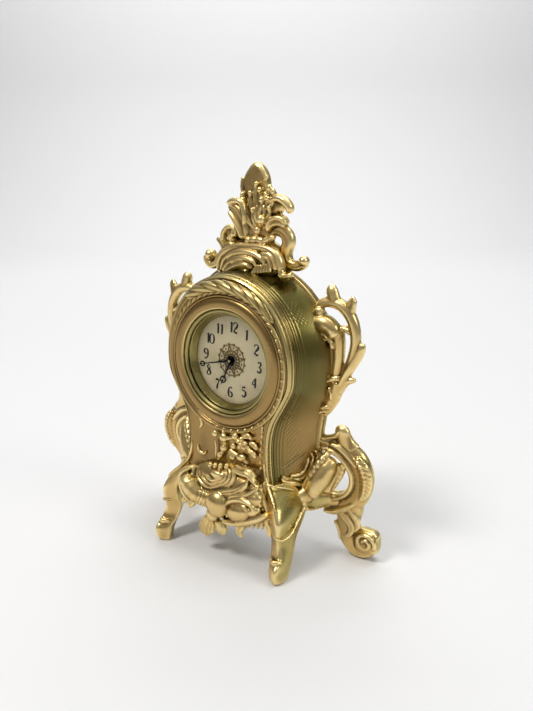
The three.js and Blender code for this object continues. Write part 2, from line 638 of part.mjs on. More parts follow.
/**
 * The crest: a shell swirl in its rolls, scrolls to both sides, curled petals, narrow leaves and a dome.
 * Drawn from the top of the arch at the back of the body; depths are counted forwards from there.
 */
function crest() {
  const y = rearPlaneY;
  const roll = (depth, points, widths, depths, steps = 5, sides = 5) => (
    limb(onPlane(points, y - depth), widths, depths, { steps, sides })
  );
  const edge = [
    [-3.4, 26.5], [-4, 39.3], [-4.3, 46], [-3.3, 49.5], [-1, 52.8], [1.7, 55.3], [4.4, 56.2], [7.1, 55.4],
    [9.6, 53.1], [11.6, 49.9], [12.5, 46], [12.5, 38.5], [12.2, 26.5],
  ];
  const face = edge.map(([x, z]) => [4.2 + 0.84 * (x - 4.2), 40 + 0.92 * (z - 40)]);
  const dome = [
    plate(face, y - 5.6, y + 1),
    plate(edge, y - 4.4, y - 0.2),
  ];
  const leaves = [
    [[7.7, 18.2], [2.4, 27.2], [-1.1, 33.4], [-3, 39]],
    [[8.5, 19], [4.6, 28.6], [2.5, 35.5], [2.9, 40]],
    [[9.4, 20.4], [8.1, 30.1], [6.4, 38.3], [7.1, 45.2]],
    [[10.2, 21.8], [11.1, 31.5], [9.9, 37.6], [10.1, 42.4]],
    [[11.1, 22.5], [13.3, 30.8], [15.3, 37], [16, 42.3]],
    [[11.6, 21.8], [15.6, 30.2], [18.3, 35.6], [18.6, 41.4]],
  ];
  const bunch = [
    ...leaves.map((points) => roll(7, points, [0.9, 1.6, 1.9, 1], [1.8, 2.2, 2.2, 1.5], 3)),
    ball([8.4, y - 5.4, 28.5], [8.6, 3.7, 12.8]),
    ball([10.5, y - 6.6, 26], [6.5, 2.6, 9]),
    ball([16, y - 4.4, 36.5], [3.6, 2.8, 5.2]),
    ball([12.8, y - 10, 24.8], [2.4, 3.2, 2.8]),
    ball([10, y - 9.4, 18.8], [2, 3, 2.2]),
    ball([17.4, y - 7.6, 41.2], [2.3, 2.1, 2.7]),
  ];
  const petals = [
    roll(7.4, [[-0.6, 13.1], [-1.6, 20.1], [-3.8, 25.9], [-7.8, 30.5], [-13, 32.3]],
      [3.4, 4.6, 5.2, 4.8, 2.2], [2.9, 3.2, 3.2, 3, 2.2], 6, 6),
    roll(8.6, [[-0.2, 21.5], [-0.5, 30], [-2.9, 34.5], [-7.9, 35.1], [-13, 33.5]], [1.5, 2, 2.2, 2.2, 1.7],
      [2.4, 2.8, 2.8, 2.6, 2.1], 6),
    roll(9.2, [[-1.4, 13.5], [-3.6, 19.1], [-7.1, 24.2], [-11.6, 29.4]],
      [1.8, 2.2, 2.1, 1.5], [2.4, 2.6, 1.8], 4),
    roll(6, [[14.2, 32.9], [18.6, 36.1], [22.8, 36.3], [26.5, 34.2], [28.8, 31.1], [27.9, 28.3]],
      [2, 2.6, 2.8, 2.9, 2.8, 2], [2.6, 3.2, 3.6, 3.6, 3.2, 2.3], 7, 6),
    roll(4.2, [[10.8, 21.8], [14, 29.1], [19, 32.3], [24.4, 31.5]], [3.8, 4.8, 5, 3.5], [2.3, 2.3], 4, 6),
    roll(7.6, [[14.2, 19.4], [16.6, 23.8], [21, 25.8], [25.2, 24.9], [27.2, 22.4]], [1.5, 1.9, 2, 2, 1.5],
      [2.4, 2.6, 2.6, 2.4, 1.9]),
    roll(6.4, [[14.2, 18.1], [17.6, 21.7], [22.6, 22.7], [26.2, 21.2]], [1.4, 1.8, 1.8, 1.3], [2.3, 2.3], 4),
    roll(4, [[13.6, 19.5], [18, 23.5], [23, 24.5], [26, 21.5]], [2.3, 3.4, 3.4, 2.3], [2.3, 2.3], 4, 6),
  ];
  const ribbon = [
    [12.6, 15.5], [17.2, 18.7], [22, 18.6], [25.4, 16.1], [26.3, 12.4], [25, 8.5], [24.6, 5], [26.3, 1.2],
    [31, -0.5], [35.6, 0.5], [37.6, 2.7],
  ];
  const volute = [
    [-17.4, 9.5], [-20.4, 5.9], [-24.4, 1.2], [-27, -2.3], [-31, -3.4], [-34.4, -0.9], [-35, 2.9],
  ];
  const curl = [[-17.4, 11.3], [-16.6, 16.7], [-12.6, 20.1], [-8.6, 19.7], [-7.3, 17.1], [-8.6, 14.3]];
  const scrolls = [
    roll(3, ribbon, [2.9, 3.4, 3.9, 4.3, 4.4, 4.1, 3.9, 3.6, 3.3, 3.1, 2.6], [3.4, 3.8, 4, 3.8, 3.4], 11, 6),
    ball([36.9, y - 3.6, 2.5], [3.1, 3.7, 3.2]),
    roll(2, volute, [2.3, 2.8, 3, 2.9, 2.8, 2.6, 1.7], [3.4, 3.4], 8, 6),
    ball([-31.2, y - 2.8, 2.9], [3.6, 4.1, 3.6]),
    roll(4, [[-16.6, 1.9], [-18.8, 7.8], [-21.6, 11.2], [-25.8, 12.8]],
      [2.8, 3.2, 2.6, 1], [2.8, 3, 2.5, 1.2], 4, 6),
    roll(7.4, [[-15.4, 7.1], [-19, 1.5], [-20.4, -4.3], [-18.4, -7.1]], [1.8, 2.4, 2, 1.2], [2.6, 2.6]),
    ball([-11.6, y - 5.6, 15.9], [3.7, 3.5, 5.6]),
    roll(7.4, curl, [1.6, 2, 2, 1.7, 1.4, 1], [2.8, 2.8, 2.5, 2.3], 7),
    ball([-12.6, y - 5, 8.3], [5.2, 4.4, 5.4]),
  ];
  const shell = [
    [-18.3, -5.7], [-17.7, 1.1], [-13, 6.1], [-4.6, 9.1], [4.5, 9.5], [12.4, 9.4], [19.2, 8], [23.9, 4.8],
    [26, 0.1], [26, -4.3],
  ];
  const hem = [[-11, 1.7], [-9.6, -2.7], [-4.6, -5.6], [1.4, -5.9], [6.2, -4.1], [10.2, -0.3]];
  const fan = [new THREE.Vector3(15.9, y - 12.6, 0.7), new THREE.Vector3(14.4, y - 14.1, -5.1)];
  const base = [
    ball([2, y - 3, 4.5], [22.5, 8.2, 10.8], 10),
    ball([2, y - 2, -1.5], [27.5, 6.7, 6.7], 10),
    ball([4, y - 2.8, 16.5], [12.8, 6.2, 11.3], 10),
    ball([4.6, y - 2, 28.5], [9.2, 4.5, 14.3]),
    ball([13, y - 8.4, -2.5], [10.8, 4.7, 4.5]),
    roll(9.4, [[0.6, 12.9], [9, 13.5], [14.7, 13.3], [21.3, 16]], [2, 2.3, 2.1, 1.6], [2.4, 2.4], 4, 6),
    roll(10, shell, [1.8, 2.4, 2.7, 2.8, 2.8, 2.8, 2.7, 2.6, 2.5, 2], [3.2, 3.2], 10, 6),
    roll(11.2, [[13, 6.5], [19.8, 5.4], [22.8, 2.1], [23.4, -3.1]], [1.4, 1.9, 1.9, 1.3], [2.8, 2.8]),
    roll(11.8, [[13.6, 4.5], [18.5, 3.7], [20.5, 0.6], [21, -3.1]], [1.1, 1.5, 1.4, 1], [2.6, 2.6]),
    ball([0.2, y - 10.2, 1.9], [13, 6, 6.3], 10),
    ball([10.6, y - 11.6, 3.7], [3.9, 4.3, 3.5]),
    roll(11.6, hem, [1.5, 2.1, 2.3, 2.3, 2, 1.3], [2.8, 2.8], 7),
    roll(11.4, [[-12.4, 3.5], [-6.2, 6.9], [2, 7.5], [9.4, 6.3]], [1.3, 1.7, 1.7, 1.3], [2.4, 2.4], 4),
    roll(10.2, [[26, -1.9], [27, -5.1], [30.6, -5.7], [33.4, -3.9]], [2.4, 2.6, 2.2, 1.3], [3, 3], 4, 6),
    limb(fan, [4.8, 7.2], [1.4, 1.2], { steps: 1, sides: 6 }),
  ];
  const whole = join(...base, ...scrolls, ...petals, ...bunch, ...dome);
  return cut(whole.translate(0, 0, dialHeight + backRadius), bodyClearance, backClearance);
}

/** The back of the case, with the hole for the movement. */
function backPlate() {
  const hole = disc(canRadius + castingGap, bodyBackY, backPlateBackY + 1).translate(...onDial);
  return cut(plate(backPlateOutline, backPlateY, backPlateBackY), hole);
}

/** A round-headed screw whose head sits on the back plate, with a slot across it. */
function backScrew([x, z]) {
  const headRadius = 2.4;
  const headHeight = 1.6;
  const slot = 0.6;
  const y0 = backPlateBackY + stackGap / 3;
  const crown = [headRadius * 0.9, y0 + headHeight * 0.7];
  const profile = [[0, y0], [headRadius, y0], crown, [0, y0 + headHeight]];
  const cutter = block([-headRadius, y0 + headHeight * 0.5, -slot / 2], [headRadius, y0 + 9, slot / 2]);
  return cut(turned(profile, 10), cutter).translate(x, 0, z);
}

// Dial, glass and hands, drawn about the dial centre

/** The polished ring that holds the glass. */
function bezel() {
  const inner = bezelRadius - bezelWall;
  const bead = 0.5;
  const profile = [
    [inner, bezelBackY],
    [inner, glassY - 0.1],
    [inner - bezelLip, glassY - 0.2],
    [inner - bezelLip, bezelFrontY + bead],
    [inner, bezelFrontY],
    [bezelRadius - bead, bezelFrontY],
    [bezelRadius, bezelFrontY + bead],
    [bezelRadius, bezelBackY],
  ];
  return turned([...profile, profile[0]]);
}

const glassRadius = bezelRadius - bezelWall - runningGap;

/** The flat glass behind the bezel's lip. */
function glass() {
  return disc(glassRadius, glassY, glassY + glassThickness);
}

const sightRingY = glassY + glassThickness + stackGap;

/** The sloping brass ring between the glass and the dial. */
function sightRing() {
  const outer = dialRadius;
  const backY = dialY - stackGap;
  const profile = [
    [outer, sightRingY],
    [outer, backY],
    [sightRadius, backY],
    [sightRadius, backY - 0.4],
    [outer - 0.5, sightRingY],
  ];
  return turned([...profile, profile[0]]);
}

const cannonPipeRadius = centreArborRadius + runningGap + 0.35;
const hourPipeInner = cannonPipeRadius + runningGap;
const hourPipeRadius = hourPipeInner + 0.4;

/** The painted dial disc. */
function dial() {
  return disc(dialRadius, dialY, dialBackY, hourPipeRadius + runningGap);
}

const rosetteY = dialY - 0.2 - rosetteThickness;
const hourHandY = rosetteY - stackGap - handThickness;
const minuteHandY = hourHandY - stackGap - handThickness;
const nutY = minuteHandY - 0.9;

/** The pierced gilt rosette in the middle of the dial. */
function rosette() {
  const petals = 8;
  const outline = Array.from({ length: petals * 4 }, (_, i) => {
    const swell = 0.94 + 0.06 * Math.cos((Math.PI * i) / 2);
    return from([0, 0], rosetteRadius * swell, (360 * i) / (petals * 4));
  });
  const holes = Array.from({ length: petals }, (_, i) => (
    rod(from([0, 0], rosetteRadius * 0.74, (360 * i) / petals), rosetteRadius * 0.14, rosetteY - 1, dialY, 6)
  ));
  const centre = disc(hourPipeRadius + runningGap, rosetteY - 1, dialY + 1, 0, 12);
  return cut(plate(outline, rosetteY, rosetteY + rosetteThickness), centre, ...holes);
}

/** A hand that points straight up, with a spade near its tip, on a round boss. */
function hand(length, y, pipeRadius, spadeWidth) {
  const boss = pipeRadius + 1;
  const outline = [
    [-handWidth / 2, 0],
    [handWidth / 2, 0],
    [handWidth * 0.4, length - 3.4 * spadeWidth],
    [spadeWidth, length - 2.4 * spadeWidth],
    [handWidth * 0.3, length - 1.2 * spadeWidth],
    [0, length],
    [-handWidth * 0.3, length - 1.2 * spadeWidth],
    [-spadeWidth, length - 2.4 * spadeWidth],
    [-handWidth * 0.4, length - 3.4 * spadeWidth],
  ];
  const blade = plate(outline, y, y + handThickness);
  const hole = disc(pipeRadius + 0.1, y - 1, y + handThickness + 1, 0, 12);
  return cut(join(blade, disc(boss, y, y + handThickness, 0, 20)), hole);
}

const dialTurn = 5.5; // how far the dial sits turned in the case, clockwise
const hourHandAngle = 201 + dialTurn; // clockwise from straight up
const minuteHandAngle = 252 + dialTurn;

/** A geometry turned clockwise seen from the front. */
function clockwise(geometry, degrees) {
  return geometry.rotateY(THREE.MathUtils.degToRad(degrees));
}

/** The small nut that holds the minute hand on the centre arbor. */
function handNut() {
  const bore = disc(centreArborRadius * 0.8 + 0.1, nutY - 1, minuteHandY, 0, 12);
  return cut(disc(cannonPipeRadius + 0.3, nutY, minuteHandY - 0.15, 0, 6), bore);
}

// Movement

const wheelAddendum = 0.7; // in modules
const wheelDedendum = 1.35;
const leafAddendum = 0.5;
const leafDedendum = 1.3;

/** Outline of a toothed wheel with one tooth centred on the given bearing. */
function toothed(teeth, module, phase, { addendum, dedendum, root, tip }) {
  const pitchRadius = (teeth * module) / 2;
  const step = 360 / teeth;
  const outline = [];
  for (let i = 0; i < teeth; i++) {
    const middle = phase + i * step;
    outline.push(from([0, 0], pitchRadius - dedendum * module, middle - step * root));
    if (tip > 0) {
      outline.push(from([0, 0], pitchRadius + addendum * module, middle - step * tip));
      outline.push(from([0, 0], pitchRadius + addendum * module, middle + step * tip));
    } else {
      outline.push(from([0, 0], pitchRadius + addendum * module, middle));
    }
    outline.push(from([0, 0], pitchRadius - dedendum * module, middle + step * root));
  }
  return outline;
}

/** Outline of a wheel whose tooth points along a bearing. */
function wheelOutline(teeth, module, phase) {
  const shape = { addendum: wheelAddendum, dedendum: wheelDedendum, root: 0.3, tip: 0 };
  return toothed(teeth, module, phase, shape);
}

/** Outline of a pinion whose gap points along a bearing. */
function pinionOutline(count, module, gap) {
  const shape = { addendum: leafAddendum, dedendum: leafDedendum, root: 0.16, tip: 0.1 };
  return toothed(count, module, gap + 180 / count, shape);
}

/** Round openings between the spokes of a wheel. */
function spokeHoles(radius, hubRadius, y0, y1) {
  const spokes = 4; // round crossings, one between each pair of spokes
  const middle = (radius + hubRadius) / 2;
  const holeRadius = Math.min((radius - hubRadius) / 2, middle * Math.sin(Math.PI / spokes)) * 0.86;
  return Array.from({ length: spokes }, (_, i) => (
    rod(from([0, 0], middle, (360 * i) / spokes), holeRadius, y0 - 1, y1 + 1, 6)
  ));
}

const centre = [0, 0];
const barrelAt = from(centre, ((barrelTeeth + leaves) * barrelModule) / 2, barrelBearing);
const thirdAt = from(centre, ((centreTeeth + leaves) * centreModule) / 2, thirdBearing);
const fourthAt = from(thirdAt, ((thirdTeeth + leaves) * thirdModule) / 2, fourthBearing);
const escapeAt = from(fourthAt, ((fourthTeeth + leaves) * fourthModule) / 2, escapeBearing);
const leverAt = from(escapeAt, escapeRadius + arborRadius + 1, leverBearing);
const leverLength = 6.4 * trainScale; // lever arbor to balance staff
const balanceAt = from(leverAt, leverLength, balanceBearing);
const motionDistance = ((cannonLeaves + minuteTeeth) * minuteModule) / 2;
const hourModule = (2 * motionDistance) / (hourTeeth + minuteLeaves);
const minuteAt = from(centre, motionDistance, minuteBearing);
const clickAt = from(barrelAt, ratchetRadius + 2.8, -32);

// Layers of the train along y
const barrelY = plateBackY + 0.6;
const fourthY = barrelY + 2;
const thirdY = fourthY + 4;
const leverY = thirdY + wheelThickness + 1;
const centreWheelY = rearPlateY - 2.5;
const balanceY = centreWheelY - 0.4;
const balanceHeight = 1.4;
const hairspringY = balanceY + balanceHeight + stackGap;
const hairspringHeight = 0.7;
const minuteWheelY = frontPlateY - 1.6;
const hourWheelY = minuteWheelY - 1.7;
const ratchetY = rearPlateBackY + 0.5;
const windingEndY = capBackY + keyHubLength - 1;
const centreEndY = capBackY + knobLength;

const pivotEnds = [frontPlateY + 0.3, rearPlateBackY - 0.3];
const trainArbors = [
  [thirdAt, arborRadius], [fourthAt, arborRadius], [escapeAt, arborRadius], [leverAt, arborRadius],
  [balanceAt, arborRadius], [centre, centreArborRadius], [barrelAt, windingArborRadius],
];
const pillarAngles = [0, 75, 150, 285];

/** One plate of the movement, with a hole for every arbor and pillar that goes through it. */
function movementPlate(y, arbors) {
  const pillars = pillarAngles.map((angle) => [from(centre, pillarCircle, angle), pillarRadius * 0.6]);
  const holes = [...arbors, ...pillars].map(([place, radius]) => (
    rod(place, radius + runningGap, y - 1, y + plateThickness + 1)
  ));
  return cut(disc(moveRadius, y, y + plateThickness, 0, 24), ...holes);
}

/** A pillar with a shoulder between the plates and a riveted end through each. */
function pillar(angle) {
  const thin = pillarRadius * 0.6;
  const [y0, y1] = [plateBackY + 0.05, rearPlateY - 0.05];
  const profile = [
    [0, frontPlateY], [thin, frontPlateY], [thin, y0], [pillarRadius, y0], [pillarRadius, y1],
    [thin, y1], [thin, rearPlateBackY + 0.3], [0, rearPlateBackY + 0.3],
  ];
  const [x, z] = from(centre, pillarCircle, angle);
  return turned(profile, 8).translate(x, 0, z);
}

/** The drum that holds the movement, with a flange behind the front plate. */
function movementCan() {
  const flange = canRadius + canFlangeWidth;
  const profile = [
    [canInnerRadius, bodyFrontY],
    [flange, bodyFrontY],
    [flange, bodyFrontY + canFlangeThickness],
    [canRadius, bodyFrontY + canFlangeThickness],
    [canRadius, canBackY],
    [canInnerRadius, canBackY],
  ];
  return turned([...profile, profile[0]]);
}

const regulatorLength = 5.6 * trainScale;
const regulatorThickness = 0.6;
const regulatorSwing = 25; // to each side
const regulatorBearing = 100;
const regulatorPinRadius = 0.6;

/** The cap on the back of the drum, with holes for the controls. */
function canCap() {
  const cap = disc(canRadius, capY, capBackY);
  const slotSteps = 5;
  const slot = Array.from({ length: slotSteps }, (_, i) => {
    const swing = THREE.MathUtils.lerp(-regulatorSwing, regulatorSwing, i / (slotSteps - 1));
    const place = from(balanceAt, regulatorLength, regulatorBearing + swing);
    return rod(place, regulatorPinRadius + 4 * runningGap, capY - 1, capBackY + 1);
  });
  const centreHole = disc(centreArborRadius + 2 * runningGap, capY - 1, capBackY + 1, 0, 12);
  const windingHole = rod(barrelAt, windingArborRadius + 2 * runningGap, capY - 1, capBackY + 1, 16);
  return cut(cap, centreHole, windingHole, ...slot);
}

/** The spring barrel: a toothed cup that turns round the winding arbor. */
function barrel() {
  const toothedBase = plate(
    wheelOutline(barrelTeeth, barrelModule, barrelBearing + 180), barrelY, barrelY + wheelThickness,
  );
  const cup = disc(barrelRadius, barrelY + wheelThickness / 2, barrelY + barrelDepth, 0, 28);
  const hollow = disc(barrelRadius - barrelWall, barrelY + wheelThickness, barrelY + barrelDepth + 1, 0, 28);
  const bore = disc(windingArborRadius + runningGap, barrelY - 1, barrelY + barrelDepth + 1, 0, 12);
  return cut(join(toothedBase, cup), hollow, bore);
}

const coverThickness = 0.7;
const barrelBackY = barrelY + barrelDepth;

/** The snap-in lid of the barrel. */
function barrelCover() {
  const radius = barrelRadius - barrelWall - 0.1;
  return disc(radius, barrelBackY - coverThickness, barrelBackY, windingArborRadius + runningGap, 24);
}

/** A flat spiral strip between two radii. */
function spiralStrip(inner, outer, turns, thickness, y0, y1, stepsPerTurn) {
  const count = Math.round(turns * stepsPerTurn);
  const side = (shift) => Array.from({ length: count + 1 }, (_, i) => (
    from(centre, THREE.MathUtils.lerp(inner, outer, i / count) + shift, (360 * turns * i) / count)
  ));
  return plate([...side(-thickness / 2), ...side(thickness / 2).reverse()], y0, y1);
}

const springThickness = 0.4;

/** The mainspring, partly wound, inside the barrel. */
function mainspring() {
  const inner = windingArborRadius + 2 * runningGap + springThickness;
  const outer = barrelRadius - barrelWall - springThickness;
  const [y0, y1] = [barrelY + wheelThickness + 0.4, barrelBackY - coverThickness - 0.4];
  return spiralStrip(inner, outer, 5, springThickness, y0, y1, 10);
}

/** The hairspring round the balance staff. */
function hairspring() {
  const strip = 0.2;
  const inner = arborRadius + 2 * runningGap + strip;
  return spiralStrip(inner, balanceRadius - 1.4, 4, strip, hairspringY, hairspringY + hairspringHeight, 10);
}

/** The winding arbor with its ratchet wheel. */
function windingArbor() {
  const step = 360 / ratchetTeeth;
  const outline = Array.from({ length: 2 * ratchetTeeth }, (_, i) => (
    from(centre, i % 2 ? ratchetRadius - 0.9 : ratchetRadius, step * (Math.floor(i / 2) + (i % 2 ? 0.85 : 0)))
  ));
  const arbor = disc(windingArborRadius, frontPlateY + 0.3, windingEndY, 0, 12);
  return join(plate(outline, ratchetY, ratchetY + wheelThickness), arbor);
}

/** The click that holds the ratchet, drawn at the moment it is lifted off the teeth. */
function click() {
  const toRatchet = bearing(clickAt, barrelAt);
  const tip = from(centre, 3.1, toRatchet + 42);
  const arm = limb(onPlane([centre, from(centre, 1.6, toRatchet + 60), tip], ratchetY + wheelThickness / 2),
    [0.9, 0.7, 0.35], [0.4, 0.4, 0.4], { steps: 4, sides: 6 });
  return join(arm, disc(1.3, ratchetY, ratchetY + wheelThickness, 0, 12));
}

/** A winding key with two flat wings on a round hub. */
function windingKey() {
  const [y0, y1] = [capBackY + 0.5, capBackY + 0.5 + keyHubLength];
  const bore = disc(windingArborRadius + 0.1, y0 - 1, windingEndY + 0.1, 0, 12);
  const wingRadius = keyWingLength / 2;
  const wing = (side) => new THREE.CylinderGeometry(wingRadius, wingRadius, keyWingThickness, 16)
    .rotateX(Math.PI / 2)
    .translate(side * (keyWingSpan - wingRadius), y1 + wingRadius, 0);
  const neck = disc(keyHubRadius * 0.8, y1 - 1, y1 + wingRadius, 0, 12);
  return cut(join(disc(keyHubRadius, y0, y1, 0, 16), neck, wing(-1), wing(1)), bore);
}

/** The knurled knob that sets the hands. */
function setKnob() {
  const [y0, y1] = [capBackY + 0.5, capBackY + 0.5 + knobLength];
  const ribs = 20;
  const outline = Array.from({ length: 2 * ribs }, (_, i) => (
    from(centre, i % 2 ? knobRadius : knobRadius - 0.4, (180 * i) / ribs)
  ));
  const bore = disc(centreArborRadius + 0.1, y0 - 1, centreEndY + 0.1, 0, 12);
  return cut(plate(outline, y0, y1), bore);
}

/** The centre arbor with its pinion and wheel. */
function centreWheel() {
  const outline = wheelOutline(centreTeeth, centreModule, thirdBearing);
  const rim = (centreTeeth * centreModule) / 2 - 2;
  const holes = spokeHoles(rim, 2.4, centreWheelY, centreWheelY + wheelThickness);
  const wheel = cut(plate(outline, centreWheelY, centreWheelY + wheelThickness), ...holes);
  const pinion = plate(pinionOutline(leaves, barrelModule, barrelBearing), barrelY - 0.2, barrelY + 1.2);
  const arbor = turned([
    [0, nutY + 0.1],
    [centreArborRadius * 0.8, nutY + 0.1],
    [centreArborRadius * 0.8, minuteWheelY],
    [centreArborRadius, minuteWheelY + 0.1],
    [centreArborRadius, centreEndY],
    [0, centreEndY],
  ], 16);
  return join(wheel, pinion, arbor);
}

/** The cannon pinion, a pipe that carries the minute hand. */
function cannonPinion() {
  const [y0, y1] = [minuteWheelY - 0.1, minuteWheelY + wheelThickness + 0.1];
  const teeth = plate(pinionOutline(cannonLeaves, minuteModule, minuteBearing), y0, y1);
  const pipe = disc(cannonPipeRadius, minuteHandY, y0 + 0.05, 0, 12);
  const bore = disc(centreArborRadius + 0.1, minuteHandY - 1, y1 + 1, 0, 12);
  return cut(join(teeth, pipe), bore);
}

/** A wheel and a pinion on one arbor, as two toothed layers. */
function wheelAndPinion({ wheel, wheelY, pinion, pinionY, pinionLength, ends, hub = 1.6, rimWidth = 1.7 }) {
  const outer = (wheel.teeth * wheel.module) / 2;
  const holes = spokeHoles(outer - rimWidth, hub, wheelY, wheelY + wheelThickness);
  const disk = plate(wheelOutline(wheel.teeth, wheel.module, wheel.phase), wheelY, wheelY + wheelThickness);
  const outline = pinionOutline(pinion.leaves, pinion.module, pinion.gap);
  const small = plate(outline, pinionY, pinionY + pinionLength);
  return join(cut(disk, ...holes), small, disc(arborRadius, ends[0], ends[1], 0, 8));
}

/** The minute wheel of the motion work, on its stud in the front plate. */
function minuteWheel() {
  return wheelAndPinion({
    wheel: { teeth: minuteTeeth, module: minuteModule, phase: minuteBearing + 180 },
    wheelY: minuteWheelY,
    pinion: { leaves: minuteLeaves, module: hourModule, gap: minuteBearing + 180 },
    pinionY: hourWheelY - 0.1,
    pinionLength: minuteWheelY - hourWheelY + 0.2,
    ends: [dialBackY + stackGap, plateBackY - 0.3],
    hub: 1.2,
    rimWidth: 1.3,
  });
}

/** The hour wheel, with the pipe that carries the hour hand. */
function hourWheel() {
  const outline = wheelOutline(hourTeeth, hourModule, minuteBearing);
  const teeth = plate(outline, hourWheelY, hourWheelY + wheelThickness);
  const pipe = disc(hourPipeRadius, hourHandY, hourWheelY + wheelThickness / 2, 0, 12);
  const bore = disc(hourPipeInner, hourHandY - 1, hourWheelY + wheelThickness + 1, 0, 12);
  return cut(join(teeth, pipe), bore);
}

/** The third wheel of the train. */
function thirdWheel() {
  return wheelAndPinion({
    wheel: { teeth: thirdTeeth, module: thirdModule, phase: fourthBearing },
    wheelY: thirdY,
    pinion: { leaves, module: centreModule, gap: thirdBearing + 180 },
    pinionY: centreWheelY - 0.2,
    pinionLength: wheelThickness + 0.4,
    ends: pivotEnds,
  });
}

/** The fourth wheel of the train. */
function fourthWheel() {
  return wheelAndPinion({
    wheel: { teeth: fourthTeeth, module: fourthModule, phase: escapeBearing },
    wheelY: fourthY,
    pinion: { leaves, module: thirdModule, gap: fourthBearing + 180 },
    pinionY: thirdY - 0.2,
    pinionLength: wheelThickness + 0.4,
    ends: pivotEnds,
  });
}

/** The escape wheel, with fifteen pointed teeth. */
function escapeWheel() {
  const step = 360 / escapeTeeth;
  const outline = [];
  for (let i = 0; i < escapeTeeth; i++) {
    outline.push(from(centre, escapeRadius - 1.4, step * i));
    outline.push(from(centre, escapeRadius, step * (i + 0.3)));
    outline.push(from(centre, escapeRadius - 1.4, step * (i + 0.45)));
  }
  const holes = spokeHoles(escapeRadius - 1.6, 1.3, thirdY, thirdY + wheelThickness);
  const wheel = cut(plate(outline, thirdY, thirdY + wheelThickness), ...holes);
  const gap = escapeBearing + 180;
  const leafOutline = pinionOutline(leaves, fourthModule, gap);
  const pinion = plate(leafOutline, fourthY - 0.2, fourthY + wheelThickness + 0.2);
  return join(wheel, pinion, disc(arborRadius, pivotEnds[0], pivotEnds[1], 0, 8));
}

const leverThickness = 0.8;

/** The pallet lever: a fork towards the balance and two pins that reach down beside the escape wheel. */
function palletLever() {
  const toEscape = bearing(leverAt, escapeAt);
  const toBalance = bearing(leverAt, balanceAt);
  const y = leverY + leverThickness / 2;
  const pinRadius = 0.4;
  const clear = escapeRadius + pinRadius + 0.5;
  const pins = [-28, 28].map((side) => {
    const place = from(escapeAt, clear, toEscape + 180 + side);
    return [place[0] - leverAt[0], place[1] - leverAt[1]];
  });
  const fork = limb(onPlane([centre, from(centre, leverLength - 1.6, toBalance)], y), [0.9, 0.5],
    [leverThickness / 2, leverThickness / 2], { steps: 3, sides: 6 });
  const arms = pins.map((pin) => limb(onPlane([centre, pin], y), [0.8, 0.7],
    [leverThickness / 2, leverThickness / 2], { steps: 3, sides: 6 }));
  const rods = pins.map((pin) => rod(pin, pinRadius, thirdY - 0.2, leverY + leverThickness / 2, 8));
  return join(fork, ...arms, ...rods, disc(arborRadius, pivotEnds[0], pivotEnds[1], 0, 8));
}

/** The balance wheel on its staff. */
function balanceWheel() {
  const [y0, y1] = [balanceY, balanceY + balanceHeight];
  const rim = disc(balanceRadius, y0, y1, balanceRadius - balanceRim, 20);
  const reach = balanceRadius - balanceRim / 2;
  const arm = block([-reach, y0 + 0.3, -0.6], [reach, y1 - 0.3, 0.6]);
  const hub = disc(1.2, y0, y1, 0, 14);
  const roller = disc(1, leverY + leverThickness + 0.3, y0 + 0.1, 0, 12);
  return join(rim, arm, hub, roller, disc(arborRadius, pivotEnds[0], pivotEnds[1], 0, 8));
}

/** The regulator index, with a pin that shows through the slot in the cap. */
function regulator() {
  const tip = from(centre, regulatorLength, regulatorBearing);
  const y = ratchetY + regulatorThickness / 2;
  const half = regulatorThickness / 2;
  const arm = limb(onPlane([centre, tip], y), [0.9, 0.7], [half, half], { steps: 3, sides: 6 });
  const pin = rod(tip, regulatorPinRadius, y, capBackY + 1.5, 10);
  return join(arm, pin, disc(1.6, ratchetY, ratchetY + regulatorThickness, 0, 14));
}

// Assembly

const clock = new THREE.Group();
const movement = new THREE.Group();
movement.position.set(...onDial);
clock.add(movement);

/** Adds one named piece to a group, at a place in the x-z plane of that group. */
function add(group, name, geometry, material, [x, z] = centre) {
  const mesh = new THREE.Mesh(closed(geometry), material);
  mesh.name = name;
  mesh.position.set(x, 0, z);
  group.add(mesh);
}

/** Adds a piece and its mirror image. */
function addPair(name, geometry, material) {
  add(clock, `${name}_right`, geometry, material);
  add(clock, `${name}_left`, mirrored(geometry), material);
}

add(clock, 'body_shell', bodyShell(), gilt);
add(clock, 'front_plate', frontPlate(), gilt);
add(clock, 'dial_surround', dialSurround(), gilt);
add(clock, 'rope_moulding', ropeMoulding(), gilt);
add(clock, 'apron', apron(), gilt);
add(clock, 'panel_spray', panelSpray(), gilt);
add(clock, 'crest', crest(), gilt);
addPair('side_handle', sideHandle(), gilt);
addPair('rear_leg', rearLeg(), gilt);
addPair('front_leg', frontLeg(), gilt);
add(clock, 'back_plate', backPlate(), gilt);
const screwPlaces = [[40, 142], [-40, 142], [38, 62], [-38, 62]];
screwPlaces.forEach((place, i) => add(clock, `back_screw_${i + 1}`, backScrew(place), steel));

add(movement, 'bezel', bezel(), brass);
add(movement, 'glass', glass(), clear);
add(movement, 'sight_ring', sightRing(), brass);
add(movement, 'dial', dial(), cream);
add(movement, 'dial_rosette', rosette(), brass);
const hourHand = hand(hourHandLength, hourHandY, hourPipeRadius, 1.5);
const minuteHand = hand(minuteHandLength, minuteHandY, cannonPipeRadius, 1.4);
add(movement, 'hour_hand', clockwise(hourHand, hourHandAngle), blued);
add(movement, 'minute_hand', clockwise(minuteHand, minuteHandAngle), blued);
add(movement, 'hand_nut', handNut(), steel);

